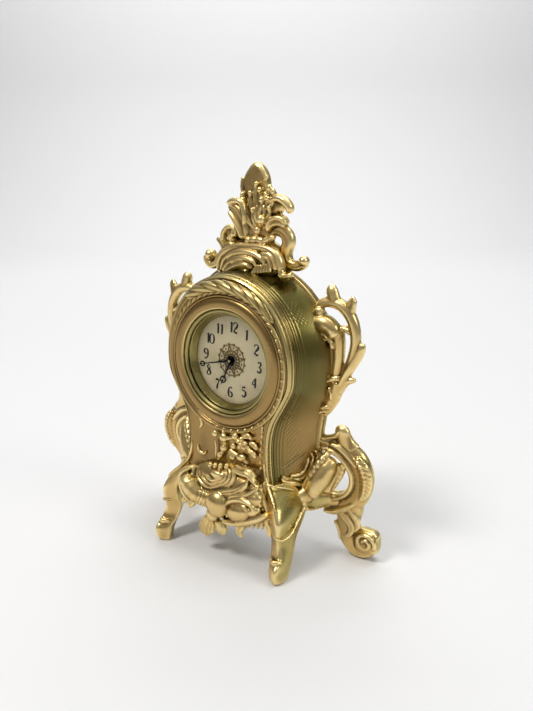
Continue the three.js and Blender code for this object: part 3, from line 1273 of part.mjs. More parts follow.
add(movement, 'movement_can', movementCan(), brass);
add(movement, 'can_cap', canCap(), brass);
const frontHoles = [...trainArbors, [minuteAt, arborRadius]];
add(movement, 'movement_front_plate', movementPlate(frontPlateY, frontHoles), brass);
add(movement, 'movement_rear_plate', movementPlate(rearPlateY, trainArbors), brass);
pillarAngles.forEach((angle, i) => add(movement, `pillar_${i + 1}`, pillar(angle), brass));

add(movement, 'barrel', barrel(), brass, barrelAt);
add(movement, 'barrel_cover', barrelCover(), brass, barrelAt);
add(movement, 'mainspring', mainspring(), blued, barrelAt);
add(movement, 'winding_arbor', windingArbor(), steel, barrelAt);
add(movement, 'winding_key', windingKey(), brass, barrelAt);
add(movement, 'click', click(), steel, clickAt);
add(movement, 'centre_wheel', centreWheel(), brass);
add(movement, 'cannon_pinion', cannonPinion(), steel);
add(movement, 'set_knob', setKnob(), brass);
add(movement, 'minute_wheel', minuteWheel(), brass, minuteAt);
add(movement, 'hour_wheel', hourWheel(), brass);
add(movement, 'third_wheel', thirdWheel(), brass, thirdAt);
add(movement, 'fourth_wheel', fourthWheel(), brass, fourthAt);
add(movement, 'escape_wheel', escapeWheel(), brass, escapeAt);
add(movement, 'pallet_lever', palletLever(), steel, leverAt);
add(movement, 'balance_wheel', balanceWheel(), brass, balanceAt);
add(movement, 'hairspring', hairspring(), blued, balanceAt);
add(movement, 'regulator', regulator(), steel, balanceAt);

// The origin is at the middle of the clock's footprint, on the table.
clock.updateMatrixWorld(true);
const box = new THREE.Box3().setFromObject(clock);
clock.position.set(-(box.min.x + box.max.x) / 2, -(box.min.y + box.max.y) / 2, -box.min.z);
clock.updateMatrixWorld(true);

export default clock;
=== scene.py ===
"""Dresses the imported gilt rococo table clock: its castings, dial, back, movement and studio."""

import logging
from dataclasses import dataclass, field
from enum import Enum
from math import cos, pi, radians, sin
from typing import Sequence

import bpy
import numpy as np
from mathutils import Matrix, Vector

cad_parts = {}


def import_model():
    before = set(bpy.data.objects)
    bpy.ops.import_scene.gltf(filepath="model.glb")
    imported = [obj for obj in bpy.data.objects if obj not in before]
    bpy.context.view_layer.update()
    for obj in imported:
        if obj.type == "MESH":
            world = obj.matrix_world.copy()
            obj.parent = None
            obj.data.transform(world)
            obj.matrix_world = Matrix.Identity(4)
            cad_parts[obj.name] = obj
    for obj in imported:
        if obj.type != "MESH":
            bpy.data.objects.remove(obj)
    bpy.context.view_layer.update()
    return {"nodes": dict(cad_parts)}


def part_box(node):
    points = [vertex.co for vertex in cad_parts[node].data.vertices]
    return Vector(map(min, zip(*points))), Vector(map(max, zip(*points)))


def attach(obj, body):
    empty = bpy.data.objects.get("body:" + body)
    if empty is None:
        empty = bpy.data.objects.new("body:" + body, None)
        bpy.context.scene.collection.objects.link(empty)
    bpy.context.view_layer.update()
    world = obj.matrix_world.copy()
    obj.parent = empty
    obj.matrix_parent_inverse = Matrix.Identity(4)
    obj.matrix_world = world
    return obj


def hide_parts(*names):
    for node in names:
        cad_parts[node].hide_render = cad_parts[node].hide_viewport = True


LOG = logging.getLogger("clock")
Array = np.ndarray
Points = Sequence[Sequence[float]]
Values = Sequence[float]
Pair = tuple[float, float]
Triple = tuple[float, float, float]
Tree = bpy.types.NodeTree
Socket = bpy.types.NodeSocket
Material = bpy.types.Material
Piece = bpy.types.Object

MM = 0.001  # every shape below is drawn in millimetres
DIAL_HEIGHT = 121.0
BODY_FRONT = 1.5  # depth of the body's front end, counted from the bezel
BEZEL_RADIUS = 31.0
CAMERA_PLACE = (234.0, -287.6, 216.5)  # in millimetres, in the drawing frame
LOBE_POWER = 0.7  # below 1 the lobes and ribs are full and the grooves between them narrow
GROOVE_SHARE = 0.42  # width of a groove as a share of the face's half width
MIDRIB_SHARE = 0.16
FRONT = (0.0, -1.0, 0.0)


def bell(value: Array, place: float, half: float) -> Array:
    """A bell curve about a place: e to the minus square of the distance over the half width."""
    return np.exp(-(((value - place) / half) ** 2))


def climb(value: Array, start: float, run: float) -> Array:
    """A straight climb from 0 at the start to 1 after the run; a negative run climbs the other way."""
    return np.clip((value - start) / run, 0.0, 1.0)


def half_round(value: Array, place: float, half: float) -> Array:
    """A half-round ridge about a place: the root of 1 less the square of the distance over the half."""
    return np.sqrt(np.clip(1.0 - ((value - place) / half) ** 2, 0.0, 1.0))


def lobes(phase: Array, power: float = LOBE_POWER) -> Array:
    """Full lobes with narrow grooves: a power of the absolute sine, less 1, so that the tops are at 0."""
    return np.abs(np.sin(phase)) ** power - 1.0


class Carving(Enum):
    """How the surface of a scroll, leaf or roll is worked."""

    PLAIN = "plain"
    GROOVED = "grooved"
    RIBBED = "ribbed"
    TWISTED = "twisted"
    GADROON = "gadroon"
    VEINED = "veined"
    BEADED = "beaded"


@dataclass(frozen=True)
class Tooling:
    """One kind of carving with its depth, its number of lobes or ribs, and how far they lean.

    Attributes:
        kind: the carving.
        depth: depth of its grooves in millimetres.
        count: lobes along the line, or ribs across it.
        lean: how far the lobes run askew.
    """

    kind: Carving = Carving.PLAIN
    depth: float = 0.0
    count: float = 1.0
    lean: float = 0.0

    def height(self, along: Array, angle: Array) -> Array:
        """The carved height over the surface of a sweep.

        The face is the half with a positive sine of the angle, and the cosine runs across it. A groove
        is a bell curve across the face; ribs, lobes and beads are the absolute sine of a phase that
        grows across the face, round the section, askew on the face or along the line.

        Args:
            along: place along the line, 0 to 1, as a column.
            angle: angle round the section, as a row.

        Returns:
            Heights in millimetres, zero or less but for a leaf's midrib.
        """
        across = np.cos(angle)
        face = np.clip(np.sin(angle) * 2.0, 0.0, 1.0)
        if self.kind is Carving.GROOVED:
            return -self.depth * bell(across, 0.0, GROOVE_SHARE) * face + 0.0 * along
        if self.kind is Carving.RIBBED:
            phase = self.count * pi * (across + 1.0) / 2.0
            return self.depth * lobes(phase) * face + 0.0 * along
        if self.kind is Carving.TWISTED:
            phase = pi * self.count * along + self.lean * angle / 2.0
            return self.depth * lobes(phase)
        if self.kind is Carving.GADROON:
            phase = pi * (self.count * along + self.lean * across)
            return self.depth * lobes(phase, 0.6) * face
        if self.kind is Carving.VEINED:
            phase = pi * (self.count * along - self.lean * np.abs(across))
            veins = 0.7 * lobes(phase)
            midrib = bell(across, 0.0, MIDRIB_SHARE)
            return self.depth * (veins * (1.0 - midrib) + 0.5 * midrib) * face
        if self.kind is Carving.BEADED:
            return self.depth * lobes(pi * self.count * along) + 0.0 * angle
        return np.zeros(np.broadcast(along, angle).shape)


PLAIN = Tooling()


@dataclass(frozen=True)
class Form:
    """A closed surface of quads, in millimetres, in the drawing frame with the bezel at depth 0."""

    points: Array
    faces: Array

    def mirrored(self) -> "Form":
        """The same form on the other side of the clock."""
        return Form(self.points * np.array([-1.0, 1.0, 1.0]), self.faces[:, ::-1])

    def outward(self) -> "Form":
        """The form with its faces turned so that the enclosed volume is positive."""
        corner = self.points[self.faces]
        first = np.einsum("ij,ij->i", corner[:, 0], np.cross(corner[:, 1], corner[:, 2]))
        second = np.einsum("ij,ij->i", corner[:, 0], np.cross(corner[:, 2], corner[:, 3]))
        turned = self.faces if (first + second).sum() >= 0.0 else self.faces[:, ::-1]
        return Form(self.points, turned)


def joined(forms: Sequence[Form]) -> Form:
    """Several forms listed as one: their points in a row, their faces counted on.

    Args:
        forms: the forms.

    Returns:
        One form that holds them all.
    """
    starts = np.cumsum([0] + [len(form.points) for form in forms[:-1]])
    faces = [form.faces + start for form, start in zip(forms, starts)]
    return Form(np.concatenate([form.points for form in forms]), np.concatenate(faces))


def unit(vectors: Array) -> Array:
    """Vectors divided by their length."""
    return vectors / np.maximum(np.linalg.norm(vectors, axis=-1, keepdims=True), 1e-9)


def grid(places: Array, wrap_rows: bool = False, wrap_columns: bool = True) -> Form:
    """A surface of quads between neighbouring places of a grid.

    Args:
        places: rows by columns by 3.
        wrap_rows: whether the last row joins the first.
        wrap_columns: whether the last column joins the first.

    Returns:
        The form, facing out where it is closed.
    """
    rows, columns = places.shape[:2]
    index = np.arange(rows * columns).reshape(rows, columns)
    if wrap_rows:
        index = np.concatenate([index, index[:1]])
    if wrap_columns:
        index = np.concatenate([index, index[:, :1]], axis=1)
    faces = np.stack([index[:-1, :-1], index[1:, :-1], index[1:, 1:], index[:-1, 1:]], axis=-1)
    return Form(places.reshape(-1, 3), faces.reshape(-1, 4)).outward()


def smooth_line(points: Points, step: float) -> Array:
    """A smooth line through points, resampled to even steps.

    Between two points it is the cubic with their tangents, each tangent being the mean slope of the two
    neighbouring chords weighed by the square root of their length; dense samples are then read again at
    even distances along the line.

    Args:
        points: the points that the line passes.
        step: distance between samples in millimetres.

    Returns:
        The samples, n by 3.
    """
    knots = np.asarray(points, float)
    chords = np.diff(knots, axis=0)
    spans = np.sqrt(np.maximum(np.linalg.norm(chords, axis=1), 1e-6))[:, None]
    slopes = chords / spans
    inner = (slopes[:-1] * spans[1:] + slopes[1:] * spans[:-1]) / (spans[1:] + spans[:-1])
    tangents = np.concatenate([slopes[:1], inner, slopes[-1:]])
    u = np.linspace(0.0, 1.0, 24, endpoint=False)[None, :, None]
    start, end = knots[:-1, None], knots[1:, None]
    leave, arrive = (tangents[:-1] * spans)[:, None], (tangents[1:] * spans)[:, None]
    dense = (
        (2 * u**3 - 3 * u**2 + 1) * start
        + (u**3 - 2 * u**2 + u) * leave
        + (3 * u**2 - 2 * u**3) * end
        + (u**3 - u**2) * arrive
    ).reshape(-1, knots.shape[1])
    dense = np.concatenate([dense, knots[-1:]])
    run = np.concatenate([[0.0], np.cumsum(np.linalg.norm(np.diff(dense, axis=0), axis=1))])
    count = max(int(run[-1] / step) + 1, 6)
    even = np.linspace(0.0, run[-1], count)
    return np.stack([np.interp(even, run, dense[:, k]) for k in range(knots.shape[1])], axis=1)


def spread(values: Values | float, along: Array) -> Array:
    """Values read along a line: given evenly from its start to its end, joined by eased steps.

    Args:
        values: one value or several.
        along: places from 0 to 1.

    Returns:
        One value for each place.
    """
    given = np.atleast_1d(np.asarray(values, float))
    if len(given) == 1:
        return np.full(along.shape, given[0])
    place = along * (len(given) - 1)
    low = np.minimum(place.astype(int), len(given) - 2)
    part = place - low
    eased = 0.5 * part + 0.5 * part * part * (3.0 - 2.0 * part)
    return given[low] * (1.0 - eased) + given[low + 1] * eased


def sweep(
    points: Points,
    widths: Values | float,
    depths: Values | float,
    tooling: Tooling = PLAIN,
    face: Sequence[float] = FRONT,
    tips: Pair = (1.5, 1.5),
    power: float = 2.0,
    sides: int = 32,
    step: float = 0.55,
) -> Form:
    """A scroll, stem, leaf or roll: a section carried along a smooth line.

    The section is the superellipse |a|^power + |b|^power = 1 scaled by the half width and half depth,
    raised by the tooling, and both ends are rounded off as a quarter ellipse over the tip lengths.

    Args:
        points: points of the line.
        widths: half widths along it.
        depths: half depths along it, measured towards the face.
        tooling: carving of the surface.
        face: direction that the carved face looks in.
        tips: lengths of the rounding at the start and at the end.
        power: 2 for an oval section, less for a ridge, more for a flat one.
        sides: points round the section.
        step: distance between sections.

    Returns:
        A closed form.
    """
    line = smooth_line(points, step)
    along = np.linspace(0.0, 1.0, len(line))
    length = np.linalg.norm(np.diff(line, axis=0), axis=1).sum()
    rounding = np.ones_like(along)
    for tip, run in ((tips[0], along * length), (tips[1], (1.0 - along) * length)):
        short = np.clip(1.0 - run / max(tip, 1e-3), 0.0, 1.0)
        rounding = np.minimum(rounding, np.sqrt(np.clip(1.0 - short**2, 0.0, 1.0)))
    tangent = unit(np.gradient(line, axis=0))
    across = unit(np.cross(tangent, np.asarray(face, float)))
    deep = np.cross(across, tangent)
    angle = np.linspace(0.0, 2.0 * pi, sides, endpoint=False)
    wave, rise = np.cos(angle), np.sin(angle)
    flat = 2.0 / power
    wave = np.sign(wave) * np.abs(wave) ** flat
    rise = np.sign(rise) * np.abs(rise) ** flat
    relief = tooling.height(along[:, None], angle[None, :])
    wide = (spread(widths, along)[:, None] + relief) * rounding[:, None] * wave
    high = (spread(depths, along)[:, None] + relief) * rounding[:, None] * rise
    places = line[:, None] + across[:, None] * wide[..., None] + deep[:, None] * high[..., None]
    return grid(places)


def flat_points(depth: float | Values, points: Points) -> list[Triple]:
    """Points given as x and z, set at one depth or at a depth for each."""
    depths = np.broadcast_to(np.asarray(depth, float), (len(points),))
    return [(x, float(y), z) for (x, z), y in zip(points, depths)]


def scroll(
    depth: float | Values,
    points: Points,
    widths: Values | float,
    depths: Values | float | None = None,
    tooling: Tooling = PLAIN,
    tips: Pair = (1.5, 1.5),
    power: float = 2.0,
) -> Form:
    """A sweep that faces the front, drawn by x and z at a depth.

    Args:
        depth: depth of the line, or a depth for each point.
        points: x and z of each point.
        widths: half widths along the line.
        depths: half depths along it, the same as the widths if left out.
        tooling: carving of its face.
        tips: lengths of the rounded ends.
        power: shape of the section.

    Returns:
        A closed form.
    """
    thick = widths if depths is None else depths
    return sweep(flat_points(depth, points), widths, thick, tooling, FRONT, tips, power)


def bead(
    centre: Sequence[float],
    radii: Sequence[float],
    tooling: Tooling = PLAIN,
    turn: float = 0.0,
    power: float = 2.0,
) -> Form:
    """A ball, drop or boss: an ellipsoid with its poles at the left and right, carved like a sweep.

    A point is the centre plus the radii times (sine of the latitude, cosine of it times the sine and
    cosine of the angle), with the angle's face turned to the front, and the whole turned about y.

    Args:
        centre: its middle.
        radii: half sizes along x, y and z before it is turned.
        tooling: carving of its face.
        turn: degrees that its long axis is turned up from x.
        power: 2 for round, more for boxy.

    Returns:
        A closed form.
    """
    latitude = np.linspace(-pi / 2, pi / 2, 33)[:, None]
    angle = np.linspace(0.0, 2.0 * pi, 48, endpoint=False)[None, :]
    flat = 2.0 / power
    grow = 1.0 + tooling.height((np.sin(latitude) + 1.0) / 2.0, angle) / min(radii)
    ring = np.abs(np.cos(latitude)) ** flat
    x = radii[0] * np.sign(np.sin(latitude)) * np.abs(np.sin(latitude)) ** flat * np.ones_like(angle)
    y = -radii[1] * ring * grow * np.sign(np.sin(angle)) * np.abs(np.sin(angle)) ** flat
    z = radii[2] * ring * grow * np.sign(np.cos(angle)) * np.abs(np.cos(angle)) ** flat
    c, s = cos(radians(turn)), sin(radians(turn))
    places = np.stack([c * x - s * z, y, s * x + c * z], axis=-1) + np.asarray(centre, float)
    return grid(places)


def slab(outline: Points, front: float, back: float, rounding: float) -> Form:
    """A flat piece with rounded edges: a smooth outline carried from its front to its back.

    Each edge is a quarter circle, along which the outline shrinks towards its middle; both faces close
    at that middle.

    Args:
        outline: x and z of points round the piece.
        front: depth of its front face.
        back: depth of its back face.
        rounding: radius of the edges.

    Returns:
        A closed form.
    """
    rim = smooth_line([*outline, outline[0]], 0.6)[:-1]
    middle = rim.mean(axis=0)
    reach = np.linalg.norm(rim - middle, axis=1).mean()
    angle = np.linspace(0.0, pi / 2, 7)
    shrink = 1.0 - rounding * (1.0 - np.sin(angle)) / reach
    sunk = rounding * (1.0 - np.cos(angle))
    share = np.concatenate([[0.0], shrink, shrink[::-1], [0.0]])[:, None, None]
    depth = np.concatenate([[front], front + sunk, back - sunk[::-1], [back]])
    flat = middle + (rim - middle)[None] * share
    deep = np.broadcast_to(depth[:, None], flat.shape[:2])
    return grid(np.stack([flat[..., 0], deep, flat[..., 1]], axis=-1))


def bead_row(line: Points, radius: Values | float, spacing: float, rise: float = 1.0) -> list[Form]:
    """A row of beads at even steps along a smooth line.

    Args:
        line: points of the line.
        radius: radii of the beads along it.
        spacing: distance between beads.
        rise: depth of a bead as a share of its radius.

    Returns:
        One form for each bead.
    """
    places = smooth_line(line, spacing)
    radii = spread(radius, np.linspace(0.0, 1.0, len(places)))
    return [bead(place, (r, r * rise, r)) for place, r in zip(places, radii)]


def volute(
    centre: Sequence[float],
    outer: float,
    inner: float,
    start: float,
    turns: float,
    lift: float = 0.0,
) -> list[Triple]:
    """Points of a spiral that winds in to its eye: the radius shrinks evenly with the angle.

    Args:
        centre: its eye, as x, y and z.
        outer: first radius.
        inner: last radius.
        start: first bearing in degrees.
        turns: turns, negative for clockwise.
        lift: how far the eye stands nearer the front than the start.

    Returns:
        The points.
    """
    part = np.linspace(0.0, 1.0, max(int(abs(turns) * 12), 6))
    angle = np.radians(start + 360.0 * turns * part)
    radius = outer + (inner - outer) * part
    x = centre[0] + radius * np.cos(angle)
    z = centre[2] + radius * np.sin(angle)
    y = centre[1] - lift * part
    return list(zip(x.tolist(), y.tolist(), z.tolist()))


def flower(centre: Sequence[float], radius: float, petals: int, height: float) -> list[Form]:
    """A small blossom: flat petals round a raised eye, each petal a drop that points outwards.

    Args:
        centre: its middle.
        radius: reach of the petals.
        petals: how many.
        height: how far it stands out.

    Returns:
        Its petals and its eye.
    """
    x, y, z = centre
    forms = []
    for turn in np.linspace(0.0, 360.0, petals, endpoint=False) + 18.0:
        reach = 0.58 * radius
        place = (x + reach * cos(radians(turn)), y, z + reach * sin(radians(turn)))
        forms.append(bead(place, (0.46 * radius, height, 0.34 * radius), turn=turn))
    forms.append(bead((x, y - 0.5 * height, z), (0.3 * radius, height, 0.3 * radius)))
    return forms


def turned(profile: Points, columns: int = 160) -> Form:
    """A body turned about the dial's axis, from a closed profile of radius and depth.

    Args:
        profile: radius and depth of each corner, in order round the section.
        columns: points round the axis.

    Returns:
        A closed ring.
    """
    radius, depth = np.asarray(profile, float).T
    angle = np.linspace(0.0, 2.0 * pi, columns, endpoint=False)
    x = radius[:, None] * np.cos(angle)
    z = DIAL_HEIGHT + radius[:, None] * np.sin(angle)
    y = np.broadcast_to(depth[:, None], x.shape)
    return grid(np.stack([x, y, z], axis=-1), wrap_rows=True)


def relaxed(points: Array, edges: Array, rounds: int, weight: float) -> Array:
    """Points drawn towards the mean of their neighbours, several times.

    Args:
        points: n by 3.
        edges: pairs of neighbours.
        rounds: how often.
        weight: share of the way that a point moves each time.

    Returns:
        The moved points.
    """
    first, second = edges[:, 0], edges[:, 1]
    count = np.bincount(edges.ravel(), minlength=len(points)).astype(float)[:, None]
    for _ in range(rounds):
        total = np.stack(
            [
                np.bincount(first, points[second, k], len(points))
                + np.bincount(second, points[first, k], len(points))
                for k in range(3)
            ],
            axis=1,
        )
        points = points + weight * (total / np.maximum(count, 1.0) - points)
    return points


def normals_of(points: Array, faces: Array) -> Array:
    """Unit normal at each point: the sum of its faces' diagonals crossed."""
    corner = points[faces]
    face_normal = np.cross(corner[:, 2] - corner[:, 0], corner[:, 3] - corner[:, 1])
    total = np.stack(
        [
            sum(np.bincount(faces[:, k], face_normal[:, axis], len(points)) for k in range(4))
            for axis in range(3)
        ],
        axis=1,
    )
    return unit(total)


@dataclass
class Bench:
    """Puts forms into Blender, in metres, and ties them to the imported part.

    Attributes:
        shift: depth of the drawing frame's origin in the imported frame, in millimetres.
    """

    shift: float
    made: list[str] = field(default_factory=list)

    def mesh(self, name: str, form: Form) -> Piece:
        """A mesh object of a form, at the origin, shaded smooth.

        Args:
            name: its name.
            form: its shape in the drawing frame.

        Returns:
            The object.
        """
        data = bpy.data.meshes.new(name)
        points = (form.points + np.array([0.0, self.shift, 0.0])) * MM
        data.vertices.add(len(points))
        data.vertices.foreach_set("co", points.astype(np.float32).ravel())
        data.loops.add(form.faces.size)
        data.loops.foreach_set("vertex_index", form.faces.astype(np.int32).ravel())
        data.polygons.add(len(form.faces))
        data.polygons.foreach_set("loop_start", np.arange(0, form.faces.size, 4, dtype=np.int32))
        data.polygons.foreach_set("use_smooth", np.ones(len(form.faces), dtype=bool))
        data.update(calc_edges=True)
        data.validate()
        piece = bpy.data.objects.new(name, data)
        bpy.context.scene.collection.objects.link(piece)
        return piece

    def fused(self, forms: Sequence[Form], voxel: float, soften: int) -> Form:
        """Overlapping forms as one skin, as if cast in one piece.

        The forms are filled with small cubes, the skin of the cubes is taken, and its points are drawn
        towards their neighbours and pushed back by turns, so that joints turn into fillets and nothing
        shrinks. What lies under the table is flattened on it.

        Args:
            forms: the forms.
            voxel: size of the cubes in millimetres.
            soften: rounds of smoothing.

        Returns:
            One closed skin.
        """
        rough = self.mesh("rough_casting", joined(forms))
        fuse = rough.modifiers.new("fuse", "REMESH")
        fuse.mode = "VOXEL"
        fuse.voxel_size = voxel * MM
        fuse.adaptivity = 0.0
        graph = bpy.context.evaluated_depsgraph_get()
        skin = bpy.data.meshes.new_from_object(rough.evaluated_get(graph))
        points = np.empty(len(skin.vertices) * 3, np.float32)
        skin.vertices.foreach_get("co", points)
        points = points.reshape(-1, 3).astype(float) / MM - np.array([0.0, self.shift, 0.0])
        corners = np.empty(len(skin.loops), np.int32)
        skin.loops.foreach_get("vertex_index", corners)
        edges = np.empty(len(skin.edges) * 2, np.int32)
        skin.edges.foreach_get("vertices", edges)
        edges = edges.reshape(-1, 2)
        for _ in range(soften):
            points = relaxed(points, edges, 1, 0.55)
            points = relaxed(points, edges, 1, -0.57)
        points[:, 2] = np.maximum(points[:, 2], 0.0)
        data = rough.data
        bpy.data.objects.remove(rough)
        bpy.data.meshes.remove(data)
        bpy.data.meshes.remove(skin)
        return Form(points, corners.reshape(-1, 4)).outward()

    def mark_relief(self, piece: Piece, form: Form) -> None:
        """Stores how far each point stands out of its neighbourhood, for rubbed edges with a painted
        highlight and for patina with painted shade in the hollows.

        The neighbourhood is the same surface drawn towards its neighbours, a few times for fine carving
        and many times for whole forms, the latter standing in for shade cast into broad hollows; the
        point's height over it along its normal, scaled and added to one half, is kept as the attribute
        relief.
        A second attribute tells how far it looks forwards, to pick painted light on the front and painted
        shade on the sides.

        Args:
            piece: the object.
            form: its shape.
        """
        edges = np.empty(len(piece.data.edges) * 2, np.int32)
        piece.data.edges.foreach_get("vertices", edges)
        edges = edges.reshape(-1, 2)
        normal = normals_of(form.points, form.faces)
        fine = relaxed(form.points, edges, 10, 0.6)
        broad = relaxed(fine, edges, 60, 0.6)
        near = np.einsum("ij,ij->i", form.points - fine, normal)
        far = np.einsum("ij,ij->i", form.points - broad, normal)
        # relief: high on ridges for rubbed wear and a painted highlight, low in hollows for patina and
        # painted shade
        relief = np.clip(0.5 + 1.1 * near + 0.35 * far, 0.0, 1.0)
        # how far the point looks forwards, for painted light on front faces and painted shade on the sides
        facing_light = np.clip(0.5 - 0.75 * normal[:, 1], 0.0, 1.0)
        for name, values in (("relief", relief), ("facing_light", facing_light)):
            stored = piece.data.attributes.new(name, "FLOAT", "POINT")
            stored.data.foreach_set("value", values.astype(np.float32))

    def casting(self, name: str, form: Form) -> Piece:
        """A gilt piece of a form, with the attributes for its wear and its painted light and shade marked.
        """
        piece = self.mesh(name, form)
        self.mark_relief(piece, form)
        return piece

    def dress(
        self,
        piece: Piece,
        material: Material,
        body: str,
        nodes: Sequence[str] = (),
        slot: str | None = None,
    ) -> Piece:
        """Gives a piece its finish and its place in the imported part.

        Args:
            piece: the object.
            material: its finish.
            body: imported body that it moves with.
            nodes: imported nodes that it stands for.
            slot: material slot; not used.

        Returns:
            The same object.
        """
        piece.data.materials.clear()
        piece.data.materials.append(material)
        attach(piece, body)
        if nodes:
            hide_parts(*nodes)
        self.made.append(piece.name)
        LOG.info("%s: %d faces", piece.name, len(piece.data.polygons))
        return piece


@dataclass(frozen=True)
class Finish:
    """Base for finishes: a named material with one Principled shader."""

    name: str

    def start(self) -> tuple[Material, Tree, bpy.types.Node]:
        """An empty node material with its shader."""
        material = bpy.data.materials.new(self.name)
        material.use_nodes = True
        tree = material.node_tree
        return material, tree, tree.nodes["Principled BSDF"]


def node(tree: Tree, kind: str, **settings: object) -> bpy.types.Node:
    """A new node of a tree: settings that are inputs are set as sockets, the others as properties.

    Args:
        tree: the tree.
        kind: its type name.
        settings: values by socket name, with _ for a space, or by property name.

    Returns:
        The node.
    """
    made = tree.nodes.new(kind)
    for key, value in settings.items():
        if hasattr(made, key):
            setattr(made, key, value)
        else:
            made.inputs[key.replace("_", " ")].default_value = value
    return made


def link(tree: Tree, source: Socket, target: Socket) -> None:
    """Joins two sockets."""
    tree.links.new(source, target)


def mixed(
    tree: Tree,
    factor: Socket,
    low: Socket | Sequence[float],
    high: Socket | Sequence[float],
    blend: str = "MIX",
) -> Socket:
    """A colour mix: low where the factor is 0, high or the blend of both where it is 1.

    Args:
        tree: the tree.
        factor: socket of the factor.
        low: first colour or its socket.
        high: second colour or its socket.
        blend: blend type.

    Returns:
        The mixed colour's socket.
    """
    mix = tree.nodes.new("ShaderNodeMix")
    mix.data_type = "RGBA"
    mix.blend_type = blend
    link(tree, factor, mix.inputs["Factor"])
    for name, value in (("A", low), ("B", high)):
        socket = next(s for s in mix.inputs if s.name == name and s.type == "RGBA")
        if isinstance(value, Socket):
            link(tree, value, socket)
        else:
            socket.default_value = (*value, 1.0)
    return next(s for s in mix.outputs if s.type == "RGBA")


def ramped(tree: Tree, value: Socket, low: float, high: float, start: float, end: float) -> Socket:
    """A value mapped smoothly from the range low to high onto start to end.

    Args:
        tree: the tree.
        value: socket of the value.
        low: start of its range.
        high: end of its range.
        start: result at the start.
        end: result at the end.

    Returns:
        The mapped value's socket.
    """
    mapped = node(tree, "ShaderNodeMapRange", interpolation_type="SMOOTHSTEP")
    link(tree, value, mapped.inputs["Value"])
    mapped.inputs["From Min"].default_value = low
    mapped.inputs["From Max"].default_value = high
    mapped.inputs["To Min"].default_value = start
    mapped.inputs["To Max"].default_value = end
    return mapped.outputs["Result"]


class Effects:
    """Shader node groups that several finishes share."""

    @staticmethod
    def new_group(
        name: str, inputs: dict[str, float | tuple[float, ...]], outputs: dict[str, str]
    ) -> tuple[Tree, bpy.types.Node, bpy.types.Node]:
        """An empty group with named sockets.

        Args:
            name: its name.
            inputs: default of each input, a number or a colour.
            outputs: socket type of each output.

        Returns:
            The group, its input node and its output node.
        """
        group = bpy.data.node_groups.new(name, "ShaderNodeTree")
        for label, default in inputs.items():
            colour = isinstance(default, tuple)
            kind = "NodeSocketColor" if colour else "NodeSocketFloat"
            socket = group.interface.new_socket(label, in_out="INPUT", socket_type=kind)
            socket.default_value = (*default, 1.0) if colour else default
        for label, kind in outputs.items():
            group.interface.new_socket(label, in_out="OUTPUT", socket_type=kind)
        return group, group.nodes.new("NodeGroupInput"), group.nodes.new("NodeGroupOutput")

    @classmethod
    def mottle(cls) -> Tree:
        """Cloudy variation of a surface: broad clouds and fine specks from two noises on the object.

        Returns:
            The group, with outputs Cloud, Speck and Height.
        """
        outputs = {"Cloud": "NodeSocketFloat", "Speck": "NodeSocketFloat", "Height": "NodeSocketFloat"}
        group, given, out = cls.new_group("mottle", {"Scale": 1.0}, outputs)
        place = group.nodes.new("ShaderNodeTexCoord")
        for label, size, detail in (("Cloud", 55.0, 4.0), ("Speck", 900.0, 3.0)):
            scaled = node(group, "ShaderNodeMath", operation="MULTIPLY")
            link(group, given.outputs["Scale"], scaled.inputs[0])
            scaled.inputs[1].default_value = size
            noise = node(group, "ShaderNodeTexNoise", Detail=detail, Roughness=0.55)
            link(group, place.outputs["Object"], noise.inputs["Vector"])
            link(group, scaled.outputs[0], noise.inputs["Scale"])
            link(group, noise.outputs["Fac"], out.inputs[label])
            if label == "Speck":
                link(group, noise.outputs["Fac"], out.inputs["Height"])
        return group

    @classmethod
    def wear(cls) -> Tree:
        """Rubbed ridges with a painted highlight, and patina with painted shade in the hollows: a base
        colour drawn to a light colour where the surface stands out of its neighbourhood and to a dark one
        where it lies below it, broken up by clouds.

        Returns:
            The group, with outputs Color and Hollow.
        """
        inputs = {
            "Base": (0.5, 0.4, 0.2),
            "Ridge": (0.8, 0.6, 0.3),
            "Groove": (0.1, 0.07, 0.03),
            "Relief": 0.5,
            "Cloud": 0.5,
            "Amount": 1.0,
        }
        outputs = {"Color": "NodeSocketColor", "Hollow": "NodeSocketFloat"}
        group, given, out = cls.new_group("wear", inputs, outputs)
        shaken = node(group, "ShaderNodeMath", operation="MULTIPLY_ADD")
        link(group, given.outputs["Cloud"], shaken.inputs[0])
        shaken.inputs[1].default_value = 0.24
        link(group, given.outputs["Relief"], shaken.inputs[2])
        # hollow: patina and painted shade where the relief lies low; ridge: rubbed wear and a painted
        # highlight where it stands high
        hollow = ramped(group, shaken.outputs[0], 0.62, 0.2, 0.0, 1.0)
        ridge = ramped(group, shaken.outputs[0], 0.66, 0.98, 0.0, 1.0)
        scaled = node(group, "ShaderNodeMath", operation="MULTIPLY")
        link(group, hollow, scaled.inputs[0])
        link(group, given.outputs["Amount"], scaled.inputs[1])
        worn_and_lit = mixed(group, ridge, given.outputs["Base"], given.outputs["Ridge"])
        link(group, mixed(group, scaled.outputs[0], worn_and_lit, given.outputs["Groove"]), out.inputs["Color"])
        link(group, hollow, out.inputs["Hollow"])
        return group


